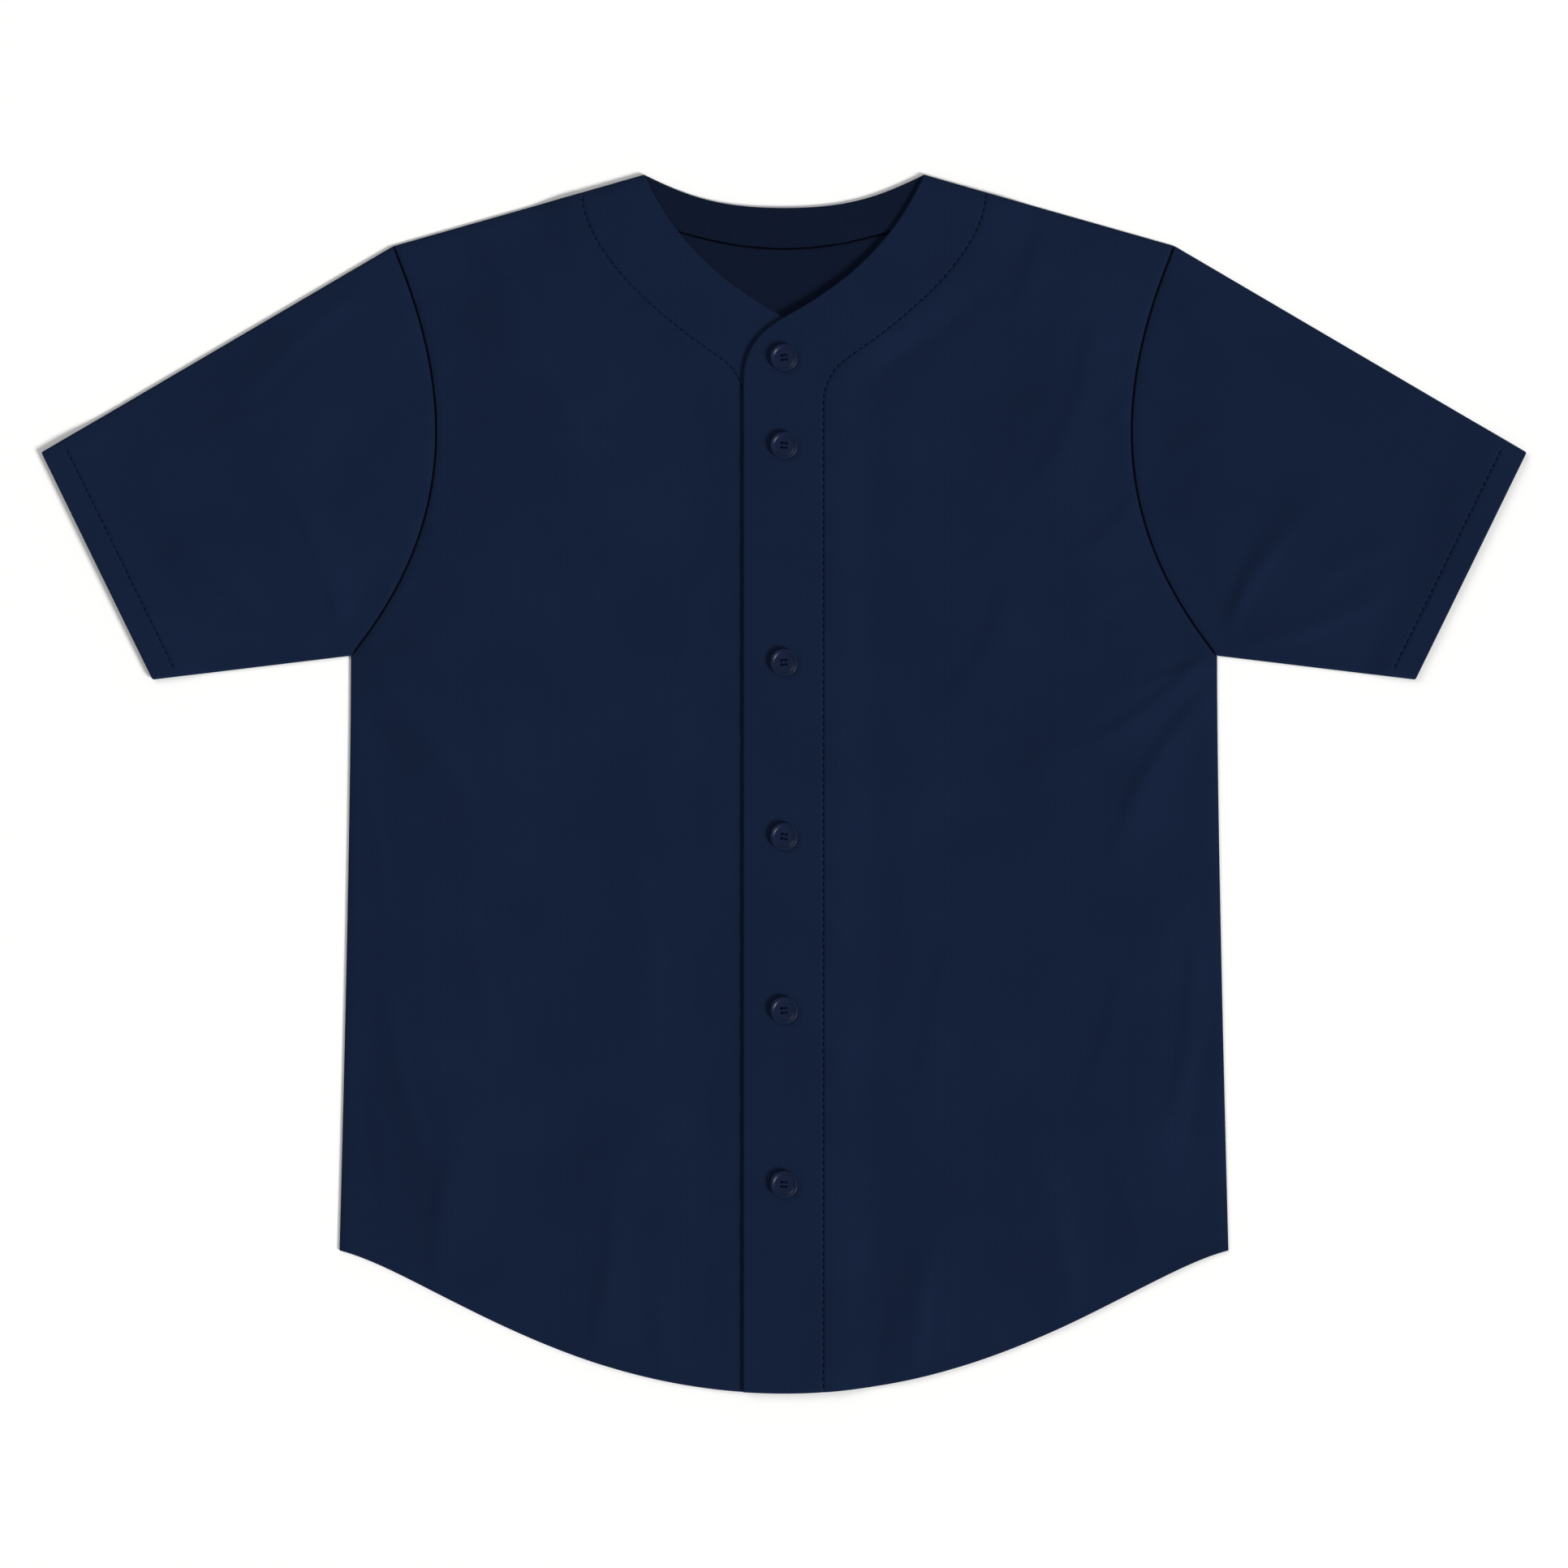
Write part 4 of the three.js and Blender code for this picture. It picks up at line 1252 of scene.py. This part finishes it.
def button_blank():
    """One button at the origin: a turned disc with a raised rim, a dish and four holes."""
    deselect_all()
    bpy.ops.mesh.primitive_cylinder_add(
        vertices=BUTTON_VERTICES, radius=BUTTON_RADIUS * MM, depth=BUTTON_RIM * MM,
        location=(0.0, 0.0, BUTTON_RIM / 2 * MM))
    blank = bpy.context.object
    bpy.ops.object.transform_apply(location=True, rotation=False, scale=False)
    bpy.ops.object.mode_set(mode="EDIT")
    bpy.ops.mesh.select_mode(type="FACE")
    bpy.ops.mesh.select_all(action="DESELECT")
    bpy.ops.object.mode_set(mode="OBJECT")
    for face in blank.data.polygons:
        face.select = face.normal.z > 0.9
    bpy.ops.object.mode_set(mode="EDIT")
    bpy.ops.mesh.inset(thickness=BUTTON_RIM_WIDTH * MM)
    bpy.ops.mesh.inset(thickness=BUTTON_DISH_SLOPE * MM)
    bpy.ops.transform.translate(value=(0.0, 0.0, (BUTTON_DISH - BUTTON_RIM) * MM))
    bpy.ops.object.mode_set(mode="OBJECT")
    bevel = blank.modifiers.new("softened edges", "BEVEL")
    bevel.width = BUTTON_SOFTENING * MM
    bevel.segments = 3
    bevel.limit_method = "ANGLE"
    bevel.angle_limit = math.radians(25)
    bpy.context.view_layer.objects.active = blank
    bpy.ops.object.modifier_apply(modifier=bevel.name)
    for x in HOLE_PLACES:
        for y in HOLE_PLACES:
            deselect_all()
            bpy.ops.mesh.primitive_cylinder_add(
                vertices=HOLE_VERTICES, radius=BUTTON_HOLE * MM, depth=4 * BUTTON_RIM * MM,
                location=(x * MM, y * MM, 0.0))
            drill = bpy.context.object
            cut = blank.modifiers.new("hole", "BOOLEAN")
            cut.operation = "DIFFERENCE"
            cut.object = drill
            bpy.context.view_layer.objects.active = blank
            bpy.ops.object.modifier_apply(modifier=cut.name)
            bpy.data.objects.remove(drill)
    blank.data.materials.clear()
    blank.data.materials.append(material_of("cast_polyester_button"))
    deselect_all()
    blank.select_set(True)
    bpy.ops.object.shade_smooth_by_angle(angle=math.radians(35))
    return blank


class JERSEY_OT_buttons(bpy.types.Operator):
    """Add the six four-hole buttons and the thread that shows in their holes"""
    bl_idname = "jersey.buttons"
    bl_label = "Buttons"

    def execute(self, context):
        blank = button_blank()
        bar, bar_faces = thread_bar(
            2 * BUTTON_HOLE_OFFSET + BUTTON_THREAD_REACH, BUTTON_THREAD, BUTTON_THREAD_DIP)
        bars = []
        for i, height in enumerate(BUTTON_HEIGHTS):
            button = blank.copy()
            button.data = blank.data.copy()
            button.name = f"button_{i + 1}_body"
            button.data.name = button.name
            context.scene.collection.objects.link(button)
            turn = Matrix.Rotation(math.radians(BUTTON_TURNS[i]), 4, "Z")
            place = Matrix.Translation(Vector((0.0, height, BUTTON_SEAT)) * MM)
            button.data.transform(place @ turn)
            dress(button, f"button_{i + 1}")
            for y in HOLE_PLACES:
                for side in (-BUTTON_THREAD_OFFSET, BUTTON_THREAD_OFFSET):
                    moved = bar + (0.0, y + side, BUTTON_DISH + BUTTON_THREAD_RISE)
                    moved = np.array([turn @ Vector(p) for p in moved])
                    bars.append(moved + (0.0, height, BUTTON_SEAT))
        bpy.data.objects.remove(blank)
        dress(joined("button_thread", bars, bar_faces), None)
        return {"FINISHED"}


# Stage

class JERSEY_OT_stage(bpy.types.Operator):
    """Add the pale surface, the soft lights and the camera straight above"""
    bl_idname = "jersey.stage"
    bl_label = "Stage"

    def execute(self, context):
        scene = context.scene
        deselect_all()
        bpy.ops.mesh.primitive_plane_add(size=FLOOR_SIZE, location=(0.0, 0.0, FLOOR_HEIGHT))
        floor = context.object
        bpy.ops.object.transform_apply(location=True, rotation=False, scale=False)
        floor.name = "studio_surface"
        floor.data.materials.append(material_of("matt_studio_board"))

        scene.view_settings.view_transform = "Standard"
        world = bpy.data.worlds.new("studio")
        world.use_nodes = True
        tree = world.node_tree
        seen = add_node(tree, "ShaderNodeLightPath").outputs["Is Camera Ray"]
        strength = add_node(tree, MATH, (seen, BACKDROP_SEEN, BACKDROP), operation="MULTIPLY_ADD")
        background = tree.nodes["Background"]
        background.inputs["Color"].default_value = (1.0, 1.0, 1.0, 1.0)
        tree.links.new(strength.outputs[0], background.inputs["Strength"])
        scene.world = world

        for name, place, degrees, strength in LAMPS:
            bpy.ops.object.light_add(type="SUN", location=place)
            lamp = context.object
            lamp.name = name
            lamp.data.angle = math.radians(degrees)
            lamp.data.energy = strength
            lamp.rotation_euler = (-Vector(place)).to_track_quat("-Z", "Y").to_euler()

        height = FRAME_WIDTH * LENS / SENSOR
        bpy.ops.object.camera_add(location=(0.0, 0.0, height), rotation=(0.0, 0.0, 0.0))
        camera = context.object
        camera.data.lens = LENS
        camera.data.sensor_width = SENSOR
        camera.data.clip_end = 50.0
        scene.camera = camera
        return {"FINISHED"}


class JERSEY_PT_panel(bpy.types.Panel):
    """The jersey's sizes, colours and pieces"""
    bl_label = "Jersey"
    bl_idname = "JERSEY_PT_panel"
    bl_space_type = "VIEW_3D"
    bl_region_type = "UI"
    bl_category = "Jersey"

    def draw(self, context):
        for group in (context.scene.jersey_sizes, context.scene.jersey_colours):
            for key in group.bl_rna.properties.keys():
                if key not in ("rna_type", "name"):
                    self.layout.prop(group, key)
        for operator in OPERATORS:
            self.layout.operator(operator.bl_idname)


OPERATORS = (JERSEY_OT_back, JERSEY_OT_fronts, JERSEY_OT_sleeves, JERSEY_OT_sewing,
             JERSEY_OT_buttons, JERSEY_OT_stage)
CLASSES = (JerseySizes, JerseyColours, *OPERATORS, JERSEY_PT_panel)


def register():
    for item in CLASSES:
        bpy.utils.register_class(item)
    bpy.types.Scene.jersey_sizes = PointerProperty(type=JerseySizes)
    bpy.types.Scene.jersey_colours = PointerProperty(type=JerseyColours)


def unregister():
    del bpy.types.Scene.jersey_colours
    del bpy.types.Scene.jersey_sizes
    for item in reversed(CLASSES):
        bpy.utils.unregister_class(item)


def main():
    register()
    bpy.ops.jersey.stage()
    bpy.ops.jersey.back()
    bpy.ops.jersey.fronts()
    bpy.ops.jersey.sleeves()
    bpy.ops.jersey.sewing()
    bpy.ops.jersey.buttons()


if __name__ == "__main__":
    main()
